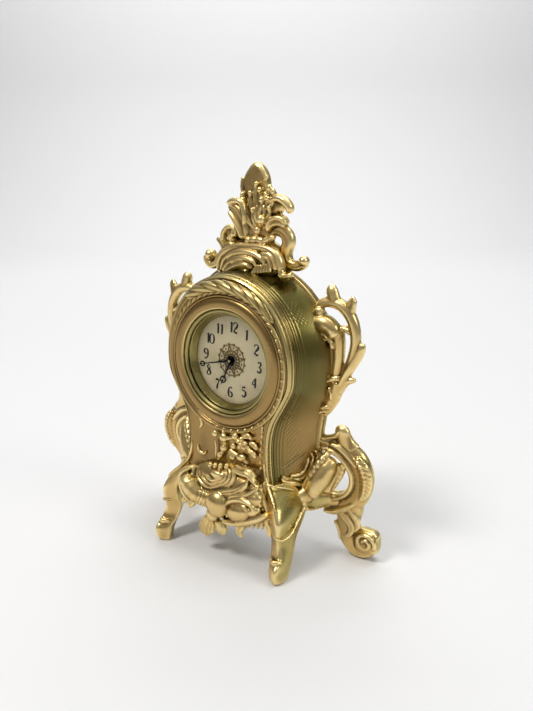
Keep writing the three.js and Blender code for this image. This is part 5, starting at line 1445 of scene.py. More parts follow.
@dataclass
class SideHandle(PairedOrnament):
    """The pierced scroll at the side: an arched stem, a column, leaves and their struts."""

    node: str = "side_handle"
    plane: float = 28.0

    def forms(self) -> list[Form]:
        """All forms of the right-hand handle."""
        y = self.plane
        arch = [(44, 153.4), (48, 156.4), (53.4, 157.2), (59.2, 155.8), (64, 151.6), (67, 146.2),
                (68.4, 140), (68.4, 134.6), (66.2, 126), (62.6, 118), (59.8, 111), (57.2, 104), (53.8, 97),
                (49.4, 90.4)]
        column = [(57, 143), (58, 136), (58.2, 127), (57.2, 118), (56.4, 110)]
        return [
            scroll(y, arch, [2.4, 3, 3.4, 3.4, 3.3, 3.2, 3, 2.8, 2.6, 2.5, 2.9, 3.2, 2.6, 1.8],
                   [3.6, 3.8, 3.4, 3, 2.6, 2.4, 2.4, 2.4], PLAIN, (2, 2)),
            bead((46.6, y - 2.4, 151.4), (3.1, 3, 3.1), PLAIN, 0, 2.6),
            scroll(y - 0.4, [(56.2, 155.6), (54.6, 159.6), (53.4, 163.4), (53.2, 167.2)],
                   [3.4, 3.7, 3.6, 3.2], [3.2, 3.2, 2.9, 2.6], PLAIN, (1, 3.8)),
            scroll(y - 0.4, [(61.4, 150.4), (64.4, 154.6), (66, 158.4), (66.2, 162)], [4.6, 4.2, 2.9, 1.3],
                   [3, 2.8, 2.2, 1.4], GROOVE, (1, 3.5)),
            scroll(y - 1.8, [(40.2, 142.6), (44.4, 145), (49.8, 145), (54.6, 142.4), (57.2, 137.4)],
                   [3.6, 5, 5.4, 5, 3.8], [4.4, 5.4, 5.6, 5, 4], PLAIN, (3, 2)),
            scroll(y, column, [3.8, 3.8, 3.5, 3.2, 2.6], [4.2, 3.8, 3.4, 3], PLAIN),
            scroll(y - 4, [(43.4, 141.6), (46.6, 139.2), (50.4, 139.6), (53.2, 137.4)],
                   [1, 1.4, 1.4, 0.9], 1.6),
            scroll(y - 3.6, [(50.6, 135.4), (53, 137), (55.4, 134.6), (56, 131.4)],
                   [0.8, 1.3, 1.3, 0.8], 1.6),
            scroll(y, [(57.4, 142), (61.4, 143.2), (66.2, 141)], [2.2, 1.8, 2], 2.4),
            scroll(y - 0.3, [(59.4, 109.6), (62, 115), (66.4, 122.6), (70.4, 129.6), (73.6, 136.4)],
                   [2.4, 2.8, 3.2, 3.3, 2.5], [2.8, 2.8, 2.4, 2], PLAIN, (1, 4.4)),
            scroll(y, [(58.8, 106), (62, 111.4), (65.6, 114), (69.6, 114.4)], [2.6, 2.5, 2.2, 1.5],
                   [2.8, 2.4, 2.2, 1.6], PLAIN, (1, 2.4)),
            scroll(y - 0.2, [(58, 113), (56.6, 105.6), (53.2, 98.4), (50, 92.6)], [4.2, 4.4, 3.4, 2],
                   [3.2, 3.2, 2.8, 2.2], PLAIN),
            scroll(y - 1.6, [(51.6, 111.4), (55.6, 113.8), (60.4, 115)], [1.5, 2.1, 1.6], [2.2, 2.8, 2.2]),
            scroll(y - 2.6, [(53.4, 109), (55.4, 105.4), (55.2, 101)], [0.8, 1.3, 0.8], 1.4),
            scroll(y - 1.4, [(48.6, 94.8), (51.4, 96.6), (54.6, 96.4)], [1.4, 1.8, 1.4], 2.8),
            scroll(y - 1.2, [(47, 91.6), (49.8, 93.6), (52.8, 93.8)], [1.2, 1.6, 1.2], 2.6),
        ]


@dataclass
class RearLeg(PairedOrnament):
    """The rear leg: a ring bracket with a leaf on top, a carved horn, arcs on the wall, a scroll foot."""

    node: str = "rear_leg"
    voxel: float = 0.5
    lean: float = 0.15

    def depth_at(self, height: float) -> float:
        """Depth of the leg's leaning plane at a height."""
        return 33.0 + self.lean * (60.0 - height)

    def lay(self, points: Points, near: float = 0.0) -> list[Triple]:
        """Points given as x and z, set on the leg's leaning plane or a distance in front of it."""
        return [(x, self.depth_at(z) - near, z) for x, z in points]

    def bracket(self) -> list[Form]:
        """The ring: a broad band round the hole, its rims, a leaf with a beaded spine and a top leaf."""
        ring = [(42.5, 74.6), (54, 73.6), (63, 71.2), (70, 65.6), (73, 57.4), (72, 48.2), (67.4, 39.6),
                (59.4, 33), (50, 30.6), (43, 31.4)]
        rim = [(48, 71.4), (57, 69.2), (63.8, 64.6), (67.6, 57.6), (67.2, 50), (62.6, 42.6),
               (55.4, 38.2), (47, 36.8)]
        spine = [(71.2, 69.4), (75.4, 63.6), (77, 56.4), (75.8, 48.6), (72.6, 41.6)]
        vein = Tooling(Carving.VEINED, 1, 11, 1.3)
        return [
            sweep(self.lay(ring), [2.4, 3.8, 5.6, 6.8, 7, 6.8, 6.6, 6.2, 4.6, 3.4],
                  [4, 4.6, 5, 5, 5, 4.6, 4]),
            *[sweep(self.lay(rim, near), [1.2, 1.5, 1.6, 1.6, 1.6, 1.5, 1.2],
                    [1.4, 1.8, 1.8, 1.6]) for near in (4.6, -4.6)],
            sweep(self.lay(spine, 4), [2.4, 3.6, 4, 3.6, 2], [2, 2.6, 2.6, 2.2, 1.6], vein),
            *bead_row(self.lay(spine[:4], 6.4), [0.9, 1.3, 1.2, 0.8], 2.7),
            sweep(self.lay([(66.4, 70), (62.4, 76.4), (61, 81.5), (61.4, 86.4)]), [7, 5.6, 5, 4.2],
                  [4.4, 3.8, 3.4, 2.8], PLAIN, FRONT, (2, 3.6)),
            sweep(self.lay([(54.4, 74.6), (60, 73.4), (66.6, 68.4), (71.4, 63.2)], 4.4),
                  [1.2, 1.6, 1.6, 1], 1.6),
            sweep(self.lay([(47, 76.2), (52.4, 77.2), (57.4, 79.4), (60.6, 84)], 1),
                  [1.4, 1.8, 1.8, 1.2], 2.6),
        ]

    def shin(self) -> list[Form]:
        """The lower leg with its comma leaves, and the foot, a flat disc with a fine spiral on it."""
        line = [(66.4, 39), (63, 29), (61, 19), (61.4, 10.6), (65.4, 5.2), (71.5, 4.4), (76.8, 7.4),
                (78.6, 12.4)]
        spiral = volute((74.4, -4.2, 12.4), 6.6, 1.2, -25, 1.6, 0.6)
        comma = Tooling(Carving.GROOVED, 0.5)
        return [
            sweep(self.lay(line), [6.6, 8, 7.4, 6, 5, 4.6, 4, 3.2], [5, 5, 4.8, 4.6, 4.8, 5], PLAIN,
                  FRONT, (2, 2), 2.5, 40),
            sweep([(x, y + self.depth_at(z), z) for x, y, z in spiral], [1.3, 1.2, 1.1, 1], 1.2),
            bead((74.4, self.depth_at(12.4), 12.4), (7.8, 4.8, 7.8), PLAIN, 0, 3.4),
            sweep(self.lay([(57.6, 30.2), (62, 27.4), (66.2, 22), (65, 16.2), (61.4, 13.2)], 4.4),
                  [1.4, 2.6, 2.6, 1.8, 0.8], 1.8, comma),
            sweep(self.lay([(64.2, 33.6), (68.4, 29.4), (70.4, 23.6), (68.2, 18.6)], 4.2),
                  [1.4, 2.2, 1.8, 0.8], 1.8, comma),
            sweep(self.lay([(47, 27.4), (54, 28.4), (61.6, 32.4), (69, 38.6)], 4.2),
                  [1.6, 2.2, 2.2, 1.4], 1.8),
            sweep(self.lay([(54.2, 22.4), (57, 16), (57.4, 9.6)], 4), [0.9, 1.1, 0.8], 1.2),
        ]

    def horn(self) -> list[Form]:
        """The carved horn on the side of the case, the skirt under it and the nested arcs beside it.

        The horn is smooth with a lobed roll along its upper edge and a toothed band behind it; the arcs
        follow the body's wall and stand a little proud of it.
        """
        path = [(45.2, 17.5, 42.5), (47.6, 18.6, 46), (50.4, 20.4, 51.5), (53.8, 24.2, 59.6),
                (55.8, 27.6, 66.4)]
        radii = [4.6, 5.8, 6.2, 6, 4.2]
        edge = [(43.4, 15.2, 45.6), (45.4, 17.4, 50.8), (48.6, 19.6, 58.4), (52.4, 22.4, 65.6),
                (54.6, 25.8, 70)]
        lobed = Tooling(Carving.GADROON, 0.6, 8, 0.3)
        teeth = Tooling(Carving.BEADED, 0.5, 7)
        skirt = [(44.6, 12, 39.5), (46, 20, 38), (48.6, 27, 37.2), (52, 33, 37), (57, 36, 36)]
        forms = [
            sweep(path, radii, radii, PLAIN, (0.3, -0.6, 0.6), (4, 3)),
            sweep(edge, [1.6, 2.7, 3.2, 3, 1.8], [1.8, 2.8, 3.2, 2.9, 1.8], lobed, (-0.1, -0.75, 0.65),
                  (2, 2), 2, 48, 0.4),
            sweep([(62.4, 31, 62.6), (58.8, 29.6, 55.6), (54.8, 29, 48), (52.4, 29, 42.4)],
                  [2.2, 3.6, 3.6, 2.6], 2.4, teeth),
            sweep([(59, 29, 63), (55, 27, 54), (51, 26.5, 44)], [3, 4.2, 4], 2.6),
            sweep(skirt, [4.6, 5.4, 5.6, 5.2, 4.4], [1.8, 2.2, 2.8, 3.4, 3.6], PLAIN, (1, -0.3, 0)),
            sweep([(47.4, 18.5, 45), (44.6, 14.5, 43.4), (41.4, 11, 43)], [5, 4.6, 3], [4, 2.6, 1.4], PLAIN,
                  (0.8, -0.55, 0.2), (3, 3)),
            sweep([(46.6, 13.5, 36), (47.4, 20, 33.8), (49.6, 28, 32.8), (54, 35, 32.6)], 1, 1.2, PLAIN,
                  (1, -0.4, 0)),
            sweep([(66.5, 31, 63.3), (69.3, 31.6, 58.6), (68.9, 32, 51.6), (64.4, 32.4, 44.4),
                   (58, 32.4, 40.2), (53.2, 31, 40.8)], [1, 1.7, 1.9, 1.9, 1.7, 1.2], 2),
        ]
        arcs = (
            ([(32.8, 7.4, 54.3), (34.5, 8.4, 52.5), (38.4, 12.6, 50.6), (40, 18.6, 48.6),
              (42.2, 22.6, 50.2), (44.5, 25.5, 55), (46.1, 27.1, 60.6), (46.1, 26.9, 65.5),
              (44.6, 25, 69.1)], 1.5),
            ([(33.2, 8.6, 55.4), (34.8, 11.1, 53.2), (37.3, 15.3, 51.4), (40, 19.4, 51.6),
              (42.2, 22.5, 55.2), (43.7, 24.4, 59.6), (44.2, 25, 63.8), (43, 23.4, 67.3)], 1.3),
            ([(35.7, 12.8, 54.7), (38.3, 17, 54), (40.3, 20, 55), (41.4, 21.6, 58), (42.2, 22.6, 61.6),
              (42.2, 22.4, 64.9)], 1.2),
        )
        for line, radius in arcs:
            proud = (np.asarray(line) + np.array([0.5, -0.7, 0.4])).tolist()
            forms.append(sweep(proud, [0.5 * radius, radius, radius, radius, 0.5 * radius], radius, PLAIN,
                               (0.9, -0.4, 0.1)))
        return forms

    def forms(self) -> list[Form]:
        """All forms of the right-hand rear leg."""
        return self.bracket() + self.shin() + self.horn()


@dataclass
class FrontLeg(PairedOrnament):
    """The front leg: a cabriole leg with a ridge to the corner, a plain side panel and a hoof toe.

    Each row of the plan is a height and then x and y of the front, ridge, side and inner corners there.
    """

    node: str = "front_leg"
    voxel: float = 0.5
    plan: Points = (
        (52.5, 30, -1.5, 31.3, -3.4, 38, 10, 33, 12),
        (49, 30.3, -3.6, 35.6, -5.8, 41, 13, 34, 14),
        (45, 31.4, -5.4, 39.5, -8.5, 43.5, 15, 36, 16),
        (41.5, 32.8, -6.6, 42.4, -10.4, 44.8, 16.5, 38, 17),
        (35.5, 34.4, -7.6, 45, -13.3, 45.8, 18, 39.5, 16),
        (29, 34.6, -7, 44.8, -13, 46.4, 13, 39.5, 10),
        (22, 34.2, -5.3, 43.8, -11.5, 46.9, 5.5, 39.5, 4),
        (15.5, 35.4, -7.4, 45.7, -13, 47.3, 2, 40.5, 0.5),
        (9.6, 37.5, -12, 46.4, -19.2, 47.7, -0.5, 41.4, -2),
        (6, 37.6, -13, 46, -19.4, 47.8, -2.6, 42, -4),
        (2, 38.2, -13.4, 45.7, -17.6, 47.6, -5, 42.3, -5),
        (0, 39, -13, 45.4, -15.6, 47, -6.6, 42.5, -6),
    )
    edge_steps: int = 16

    def limb(self) -> Form:
        """The leg itself: smooth rows through the plan, each a ring of its four edges with soft corners.

        A row's ring is sampled along the straight edges, bowed out a little along the side edge, and
        each sample is then the weighed mean of itself and its neighbours.

        Returns:
            A closed form.
        """
        rows = smooth_line(self.plan, 0.7)
        height, corners = rows[:, 0], rows[:, 1:].reshape(-1, 4, 2)
        following = np.roll(corners, -1, axis=1)
        part = np.linspace(0.0, 1.0, self.edge_steps, endpoint=False)[None, None, :, None]
        ring = corners[:, :, None] * (1.0 - part) + following[:, :, None] * part
        ring[:, 1, :, 0] += 1.1 * np.sin(pi * part[0, :, :, 0])
        ring = ring.reshape(len(rows), -1, 2)
        for _ in range(14):
            ring = 0.5 * ring + 0.25 * (np.roll(ring, 1, axis=1) + np.roll(ring, -1, axis=1))
        heights = np.broadcast_to(height[:, None, None], (*ring.shape[:2], 1))
        places = np.concatenate([ring, heights], axis=2)
        ends = np.broadcast_to(places[[0, -1]].mean(axis=1, keepdims=True), (2, *places.shape[1:]))
        return grid(np.concatenate([ends[:1], places, ends[1:]]))

    def forms(self) -> list[Form]:
        """All forms of the right-hand front leg."""
        border = [(46.3, 17.6, 40.2), (47.2, 9, 36), (47.8, 1, 30.8), (47.8, -4, 27.6), (46.2, -9.6, 26),
                  (43, -11.6, 26.4), (38.8, -9.4, 27.8)]
        arch = [(31.4, -3.6, 54), (35.8, -2.4, 53.2), (39.6, 3, 51.4), (42.6, 9, 48.6)]
        ridge = [(41.6, -10, 42.4), (37.8, -7.4, 46.6), (33.8, -4.8, 50.4), (30.4, -3, 54.4),
                 (28.2, -1.8, 60), (27.4, -1.4, 67)]
        return [
            self.limb(),
            sweep(ridge, [0.4, 0.8, 1, 1, 0.8, 0.5], 0.9, PLAIN, (0.6, -0.8, 0), (3, 3)),
            sweep(border, [0.4, 0.55, 0.55, 0.55, 0.55, 0.5, 0.3], 0.6, PLAIN, (0.9, -0.4, 0)),
            sweep(arch, [0.4, 0.6, 0.6, 0.4], 0.6, PLAIN, (0.8, -0.5, 0.3)),
            sweep([(38.6, -11.6, 13), (43.6, -14.6, 13.4), (46.8, -11, 13.2)], [0.8, 1.6, 0.8], 1.2, PLAIN,
                  (0.6, -0.8, 0)),
        ]


@dataclass
class Apron(Ornament):
    """The apron: a shell bowl over rolls, a glossy drop, a teardrop scroll and hanging leaves.

    Its lines are drawn on the front plane as they look from the camera and carried along the line of
    sight to their own depth.
    """

    node: str = "apron"
    viewpoint: Triple = CAMERA_PLACE
    drawing_depth: float = -4.0

    def sighted(self, depth: float | Values, points: Points) -> list[Pair]:
        """Points drawn on the front plane, moved along their line of sight to another depth.

        Args:
            depth: the depth to reach, or one for each point.
            points: x and z on the plane.

        Returns:
            x and z at that depth.
        """
        reach = np.broadcast_to(np.asarray(depth, float), (len(points),)) - self.viewpoint[1]
        share = (reach / (self.drawing_depth - self.viewpoint[1]))[:, None]
        eye = np.array([self.viewpoint[0], self.viewpoint[2]])
        return [tuple(place) for place in (eye + (np.asarray(points, float) - eye) * share).tolist()]

    def drawn(
        self,
        depth: float | Values,
        points: Points,
        widths: Values | float,
        depths: Values | float | None = None,
        tooling: Tooling = PLAIN,
        tips: Pair = (1.5, 1.5),
    ) -> Form:
        """A scroll through points drawn on the front plane, at its own depth."""
        return scroll(depth, self.sighted(depth, points), widths, depths, tooling, tips)

    def boss(self, depth: float, point: Sequence[float], radii: Sequence[float], turn: float = 0.0) -> Form:
        """A bead about a point drawn on the front plane, at its own depth."""
        x, z = self.sighted(depth, [point])[0]
        return bead((x, depth, z), radii, PLAIN, turn)

    def bowl(self) -> list[Form]:
        """The shell bowl: nested rings about one middle that sink into the panel at their upper ends."""
        middle = np.array([-6.4, 52.6])
        pearls = ((-10.6, 56), (-6.6, 56.4), (-2.6, 57.2), (2.2, 58.2))
        ring = np.array([(-22.7, 53.3), (-24.8, 46.3), (-22.5, 40.6), (-14.6, 37.9), (-4.3, 41.5),
                         (5.2, 48.2), (8.0, 54.4), (7, 60)])
        rings = [
            self.drawn([-5, -7.2, -8.6 - lift, -9.4 - lift, -9.4 - lift, -8.6 - lift, -7.4, -5],
                       middle + (ring - middle) * share, [0.6 * half, half, half, half, 0.6 * half], 1.6)
            for share, half, lift in ((1, 1.7, 0), (0.79, 1.3, 0.1), (0.6, 1.2, 0.2), (0.42, 1.2, 0.3))
        ]
        return [
            bead((-6, -3, 47.4), (18.5, 6.8, 11)),
            bead((2, -3.6, 36.4), (27, 8.2, 10)),
            bead((15, -3.2, 46), (15, 7.6, 10.5)),
            bead((16, -3.4, 34), (17, 7.4, 8)),
            bead((-24, -2.6, 39), (11, 7, 12)),
            self.boss(-9.6, (-6.2, 50.6), (4.2, 1.8, 2.6)),
            *[self.boss(-7, point, (1.5, 2, 2)) for point in pearls],
            *rings,
        ]

    def rolls(self) -> list[Form]:
        """The thick roll on the left, its tie of ribs, and the sweeps, wave and leaves on the right."""
        ribs = [
            self.drawn([-10.4, -12.6, -11.4], [(-17.6 + 2.3 * k, 37.6), (-20.0 + 2.5 * k, 32.2),
                                               (-22.2 + 2.3 * k, 27)], [0.9, 1.3, 0.9], 2)
            for k in range(4)
        ]
        wave = [(6.6, 58.4), (12.4, 56.6), (17.4, 56.6), (21.8, 54), (24.6, 52)]
        return [
            self.drawn(-9, [(-29.6, 46), (-28.6, 41.6), (-25.6, 37.8), (-21.4, 34.6), (-17.2, 31.8)],
                       [4.4, 5.9, 6.4, 6.2, 5], [4.6, 6.4, 7, 6.6, 5.2], PLAIN, (4, 2)),
            self.drawn([-5, -7, -8.4, -9, -9, -8],
                       [(-22.6, 52.6), (-28.2, 49.6), (-34, 45), (-35.6, 38.6), (-33, 31.6), (-26.4, 26.4)],
                       [1, 1.7, 1.9, 1.9, 1.7, 1], 2.2),
            self.drawn([-11, -11.4, -10.6, -9.4, -7.6],
                       [(-11.5, 38.5), (-1.9, 39.6), (8.4, 43.4), (15.6, 49), (18.6, 54.6)],
                       [1.2, 2.6, 3, 2.4, 1], 1.8, RIBS3),
            self.drawn([-11, -11.4, -10.4, -9, -7.6],
                       [(1.2, 35.5), (7, 39.4), (15.4, 42), (21.9, 46.4), (25.3, 52.4)],
                       [1.2, 2.4, 2.8, 2.4, 1], 2.2, GROOVE),
            self.drawn([-6, -7.6, -8, -7.6, -6.6], wave, [1, 1.8, 2.2, 1.8, 0.8], 2.2, RIBS3),
            self.drawn([-4.6, -5.6, -6, -5.6], [(9, 61), (14, 59.6), (19.4, 59.4), (24, 56.4)],
                       [0.7, 1.2, 1.3, 0.7], 1.8),
            self.drawn(-6.8, [(26.9, 50.6), (28.6, 44.1), (30.5, 37), (33.4, 32)], [0.8, 1.6, 2, 1],
                       1.6, GROOVE),
            self.drawn(-8.4, [(24.4, 48.6), (26.4, 43.6), (27.6, 38.6)], [0.7, 1.2, 0.7], 2.2),
            bead((28.6, -2.2, 42), (2.8, 3.4, 13)),
            self.boss(-8.6, (21.8, 41.6), (6.4, 3.8, 4.8), 30),
            *ribs,
        ]

    def drops(self) -> list[Form]:
        """The glossy drop and the teardrop scroll with its nested ridges to the drop's right."""
        return [
            self.boss(-11.6, (-5.3, 32), (8.4, 6.4, 8.6), -10),
            self.boss(-10, (-9.4, 24), (4.6, 4.2, 4.8)),
            self.drawn(-11, [(-2.3, 23.2), (-1.2, 30.4), (5.3, 37), (14.1, 39.7), (21.3, 38), (23.2, 34.6)],
                       [1.3, 2, 2.2, 2.2, 1.9, 1.1], 2.8),
            self.drawn(-11.8, [(2.2, 24.8), (3.4, 30), (8.9, 34.9), (15.4, 36), (18.4, 33.8)],
                       [1, 1.5, 1.6, 1.5, 0.8], 2.2),
            self.boss(-10.8, (11, 31.2), (9.4, 5.2, 6), 20),
            self.boss(-9.8, (21.4, 34.6), (5.4, 3.8, 3.2), 26),
            self.drawn([-11, -11.2, -10.6, -9.2, -8],
                       [(-1.2, 22.2), (7, 23), (17.3, 27), (27.3, 32.4), (33, 36.6)],
                       [1.5, 2.4, 2.7, 2.5, 1.6], 3.2),
            self.drawn(-7.8, [(14.4, 26.4), (12.6, 22), (10.8, 18.4), (12.9, 14.2)], [2.6, 2.7, 2.3, 1.1],
                       [2.6, 2.4, 1.2], GROOVE, (1, 2)),
        ]

    def leaves(self) -> list[Form]:
        """The hanging leaf with its two ribbed lobes, the fringe on the right and the frill on the left."""
        fan = Tooling(Carving.RIBBED, 0.6, 7)
        fringe = [
            self.drawn([-7.6, -7, -6.4], [(15.4 + 3.1 * k, 29.4 + 1.3 * k),
                                          (14.4 + 3.3 * k, 25.4 + 1.1 * k),
                                          (14.0 + 3.5 * k, 21.2 + 0.9 * k)], [1.6, 2, 0.9],
                       [2.2, 1.8, 1], RIBS3)
            for k in range(6)
        ]
        frill = [
            self.drawn([-7.6, -8, -7.6], [(-33.0 + 4.4 * k, 33.6 - 2.2 * k),
                                          (-36.0 + 4.6 * k, 30.4 - 2.2 * k),
                                          (-39.0 + 4.8 * k, 27.0 - 1.8 * k)], [2, 2.3, 1.4], 2.4, GROOVE)
            for k in range(1, 3)
        ]
        return [
            self.drawn(-9.2, [(-10.4, 22.4), (-13.6, 16.2), (-15.4, 11), (-15, 6.8)], [2.4, 5, 6, 4],
                       [2.6, 2.8, 2.4, 1.4], fan, (1, 3.6)),
            self.drawn(-9.8, [(-5.4, 20.6), (-3.6, 16.4), (-2.4, 11.2)], [2.8, 4.6, 3.4], [2.6, 2.6, 1.4],
                       fan, (1, 3.4)),
            self.drawn(-9, [(-8, 26), (-8.8, 20.8)], [4.4, 3.8], 3.4),
            self.drawn(-6.4, [(31.4, 30.6), (32.7, 26.1), (33.9, 21.7)], [1.8, 2.1, 1], 1.9, GROOVE),
            *fringe,
            *frill,
        ]

    def forms(self) -> list[Form]:
        """All forms of the apron."""
        return self.bowl() + self.rolls() + self.drops() + self.leaves()


@dataclass
class PanelSpray(Ornament):
    """The spray on the panel under the dial: a blossom, buds on stems, leaves, curls, hatching, dashes."""

    node: str = "panel_spray"
    voxel: float = 0.35
    soften: int = 2
    depth: float = -1.8

    def forms(self) -> list[Form]:
        """All forms of the spray."""
        y = self.depth
        near = y - 1.2
        forms = [
            scroll(y, [(-1.4, 80), (-0.6, 74), (-1, 68.4), (-3.6, 63.4), (-6, 59.6)],
                   [1.2, 1.6, 1.7, 1.5, 1], 2),
            scroll(y, [(0, 74), (6, 76.4), (12.4, 75), (18, 72), (21.4, 70)], [1.2, 1.5, 1.8, 1.5, 1], 2),
            scroll(y, [(3, 69), (8, 66.4), (12.4, 65.4), (17, 62.6)], [1.2, 1.6, 1.8, 1], 2),
            scroll(near, [(13.4, 78.4), (17.2, 80.2), (20.4, 79)], [1, 1.7, 0.8], 1.5, GROOVE),
            scroll(near, [(18, 76.6), (21.5, 75.6), (24, 73)], [1, 1.7, 0.8], 1.5, GROOVE),
            scroll(near, [(17, 71.6), (20.9, 70.3), (23, 67.4)], [1, 1.6, 0.8], 1.4, GROOVE),
            scroll(y + 0.7, [(-16.6, 84.4), (-20, 83.4), (-19.2, 80), (-21, 76)], [0.6, 1, 0.9, 0.4], 0.8),
            scroll(y + 0.7, [(-23, 66), (-21.8, 61.6), (-18.4, 60.4), (-16.4, 62.4)],
                   [0.4, 1.1, 1.1, 0.6], 0.9),
            scroll(y, [(-8.6, 72), (-7.8, 67), (-8.4, 60)], [0.4, 0.6, 0.4], 0.5),
        ]
        buds = (
            ((-7.4, 76.4), (2, 1.6, 2.2), 0), ((-0.8, 75.2), (2.7, 2, 2.8), 0),
            ((-0.9, 68.8), (2.3, 1.8, 2.4), 0), ((-3.9, 63.6), (2, 1.6, 2), 0),
            ((7.8, 77.8), (2.2, 1.7, 2.2), 0), ((6.4, 71.6), (1.9, 1.5, 1.9), 0),
            ((12.1, 65.8), (3.4, 2, 2.2), 15), ((5.6, 64.4), (1.9, 1.5, 2.2), 0),
        )
        forms += [bead((x, near, z), radii, PLAIN, turn) for (x, z), radii, turn in buds]
        forms += flower((12.8, near, 74.6), 4.2, 5, 1.8)
        hatch = [[(11.4 + 2.4 * k, 62.4 - 0.8 * k), (14.6 + 2.2 * k, 58.8 - 0.4 * k)] for k in range(4)]
        forms += [scroll(y + 0.2, line, 0.55, 1.2) for line in hatch]
        dashes = [(28.1, 87), (27.9, 84.2), (27.7, 81.4), (27.2, 77.6), (26.8, 73.6), (26.6, 69.6),
                  (26.5, 65.6), (26.8, 61.8)]
        forms += [bead((x - 1.4, y + 0.2, z), (0.7, 1.1, 1.3)) for x, z in dashes]
        return forms


@dataclass
class Dial:
    """The bezel, the glass, the sloping ring, the dial with its numerals, the rosette and the hands."""

    bezel_radius: float = BEZEL_RADIUS
    sight_radius: float = 26.2
    dial_front: float = 5.0
    turn: float = 4.5
    numeral_radius: float = 19.7
    numeral_height: float = 6.6
    hour_angle: float = 206.5
    minute_angle: float = 257.5

    def on_dial(self, points: Points, radius: float, turn: float, scale: float,
                depth: float) -> list[tuple[float, ...]]:
        """Points of a drawing with its own up axis, set on the dial.

        Args:
            points: drawn x and z.
            radius: distance of the drawing's origin from the dial centre.
            turn: clockwise bearing of the origin in degrees.
            scale: size of the drawing.
            depth: depth on the clock.

        Returns:
            Points in the drawing frame; the drawing stays upright but for the dial's own turn.
        """
        bearing, own = radians(turn + self.turn), radians(self.turn)
        x0, z0 = radius * sin(bearing), radius * cos(bearing)
        return [
            (
                x0 + scale * (x * cos(own) + z * sin(own)),
                depth,
                DIAL_HEIGHT + z0 + scale * (z * cos(own) - x * sin(own)),
            )
            for x, z in points
        ]

    @staticmethod
    def strokes(digit: str) -> list[tuple[Points, Values]]:
        """Strokes of a numeral in a box one unit high: points and half widths, thick and thin.

        A nine is a six turned by half a turn.

        Args:
            digit: one digit.

        Returns:
            Its strokes.
        """
        if digit == "9":
            return [([(-x, -z) for x, z in points], widths) for points, widths in Dial.strokes("6")]
        return {
            "0": [([(0, 0.48), (-0.2, 0.3), (-0.24, 0), (-0.2, -0.3), (0, -0.48)],
                   [0.02, 0.06, 0.08, 0.06, 0.02]),
                  ([(0, 0.48), (0.2, 0.3), (0.24, 0), (0.2, -0.3), (0, -0.48)],
                   [0.02, 0.06, 0.08, 0.06, 0.02])],
            "1": [([(0.02, 0.48), (0.02, 0), (0.02, -0.48)], [0.07, 0.08, 0.07]),
                  ([(-0.16, 0.3), (-0.06, 0.38), (0.03, 0.48)], [0.02, 0.03, 0.04])],
            "2": [([(-0.2, 0.24), (-0.18, 0.4), (0, 0.48), (0.19, 0.36), (0.16, 0.12), (-0.04, -0.12),
                    (-0.22, -0.4)], [0.05, 0.03, 0.03, 0.08, 0.08, 0.04, 0.02]),
                  ([(-0.22, -0.4), (-0.06, -0.36), (0.1, -0.46), (0.24, -0.32)], [0.02, 0.06, 0.06, 0.02]),
                  ([(-0.16, 0.24), (-0.19, 0.26)], [0.06, 0.06])],
            "3": [([(-0.18, 0.34), (0, 0.48), (0.17, 0.34), (0.12, 0.12), (-0.04, 0.04)],
                   [0.05, 0.03, 0.08, 0.05, 0.02]),
                  ([(-0.04, 0.04), (0.18, -0.08), (0.2, -0.3), (0.02, -0.48), (-0.2, -0.34)],
                   [0.02, 0.06, 0.08, 0.04, 0.06])],
            "4": [([(0.1, 0.48), (0.1, 0), (0.1, -0.48)], [0.07, 0.08, 0.07]),
                  ([(0.08, 0.46), (-0.1, 0.14), (-0.26, -0.14)], [0.02, 0.03, 0.03]),
                  ([(-0.26, -0.16), (0, -0.16), (0.26, -0.16)], [0.04, 0.04, 0.03])],
            "5": [([(0.2, 0.44), (0, 0.42), (-0.15, 0.44)], [0.03, 0.06, 0.05]),
                  ([(-0.15, 0.44), (-0.17, 0.06)], [0.03, 0.02]),
                  ([(-0.17, 0.06), (0.02, 0.12), (0.2, -0.04), (0.19, -0.3), (0, -0.48), (-0.2, -0.34)],
                   [0.02, 0.04, 0.08, 0.08, 0.04, 0.06])],
            "6": [([(0.17, 0.36), (0.02, 0.48), (-0.16, 0.3), (-0.22, -0.06), (-0.16, -0.36), (0, -0.48)],
                   [0.06, 0.03, 0.06, 0.08, 0.07, 0.02]),
                  ([(0, -0.48), (0.18, -0.36), (0.2, -0.14), (0.04, 0.02), (-0.14, -0.06)],
                   [0.02, 0.06, 0.08, 0.04, 0.02])],
            "7": [([(-0.22, 0.32), (-0.12, 0.44), (0.06, 0.4), (0.22, 0.46)], [0.05, 0.07, 0.06, 0.03]),
                  ([(0.22, 0.46), (0.06, 0.12), (-0.04, -0.2), (-0.06, -0.48)], [0.02, 0.04, 0.07, 0.08])],
            "8": [([(0.12, 0.4), (-0.06, 0.48), (-0.17, 0.32), (-0.04, 0.12), (0.14, -0.06), (0.2, -0.28),
                    (0.04, -0.48)], [0.03, 0.03, 0.06, 0.08, 0.08, 0.06, 0.02]),
                  ([(0.04, -0.48), (-0.16, -0.38), (-0.18, -0.2), (-0.02, 0.02), (0.14, 0.22), (0.12, 0.4)],
                   [0.03, 0.05, 0.05, 0.03, 0.03, 0.03])],
        }[digit]

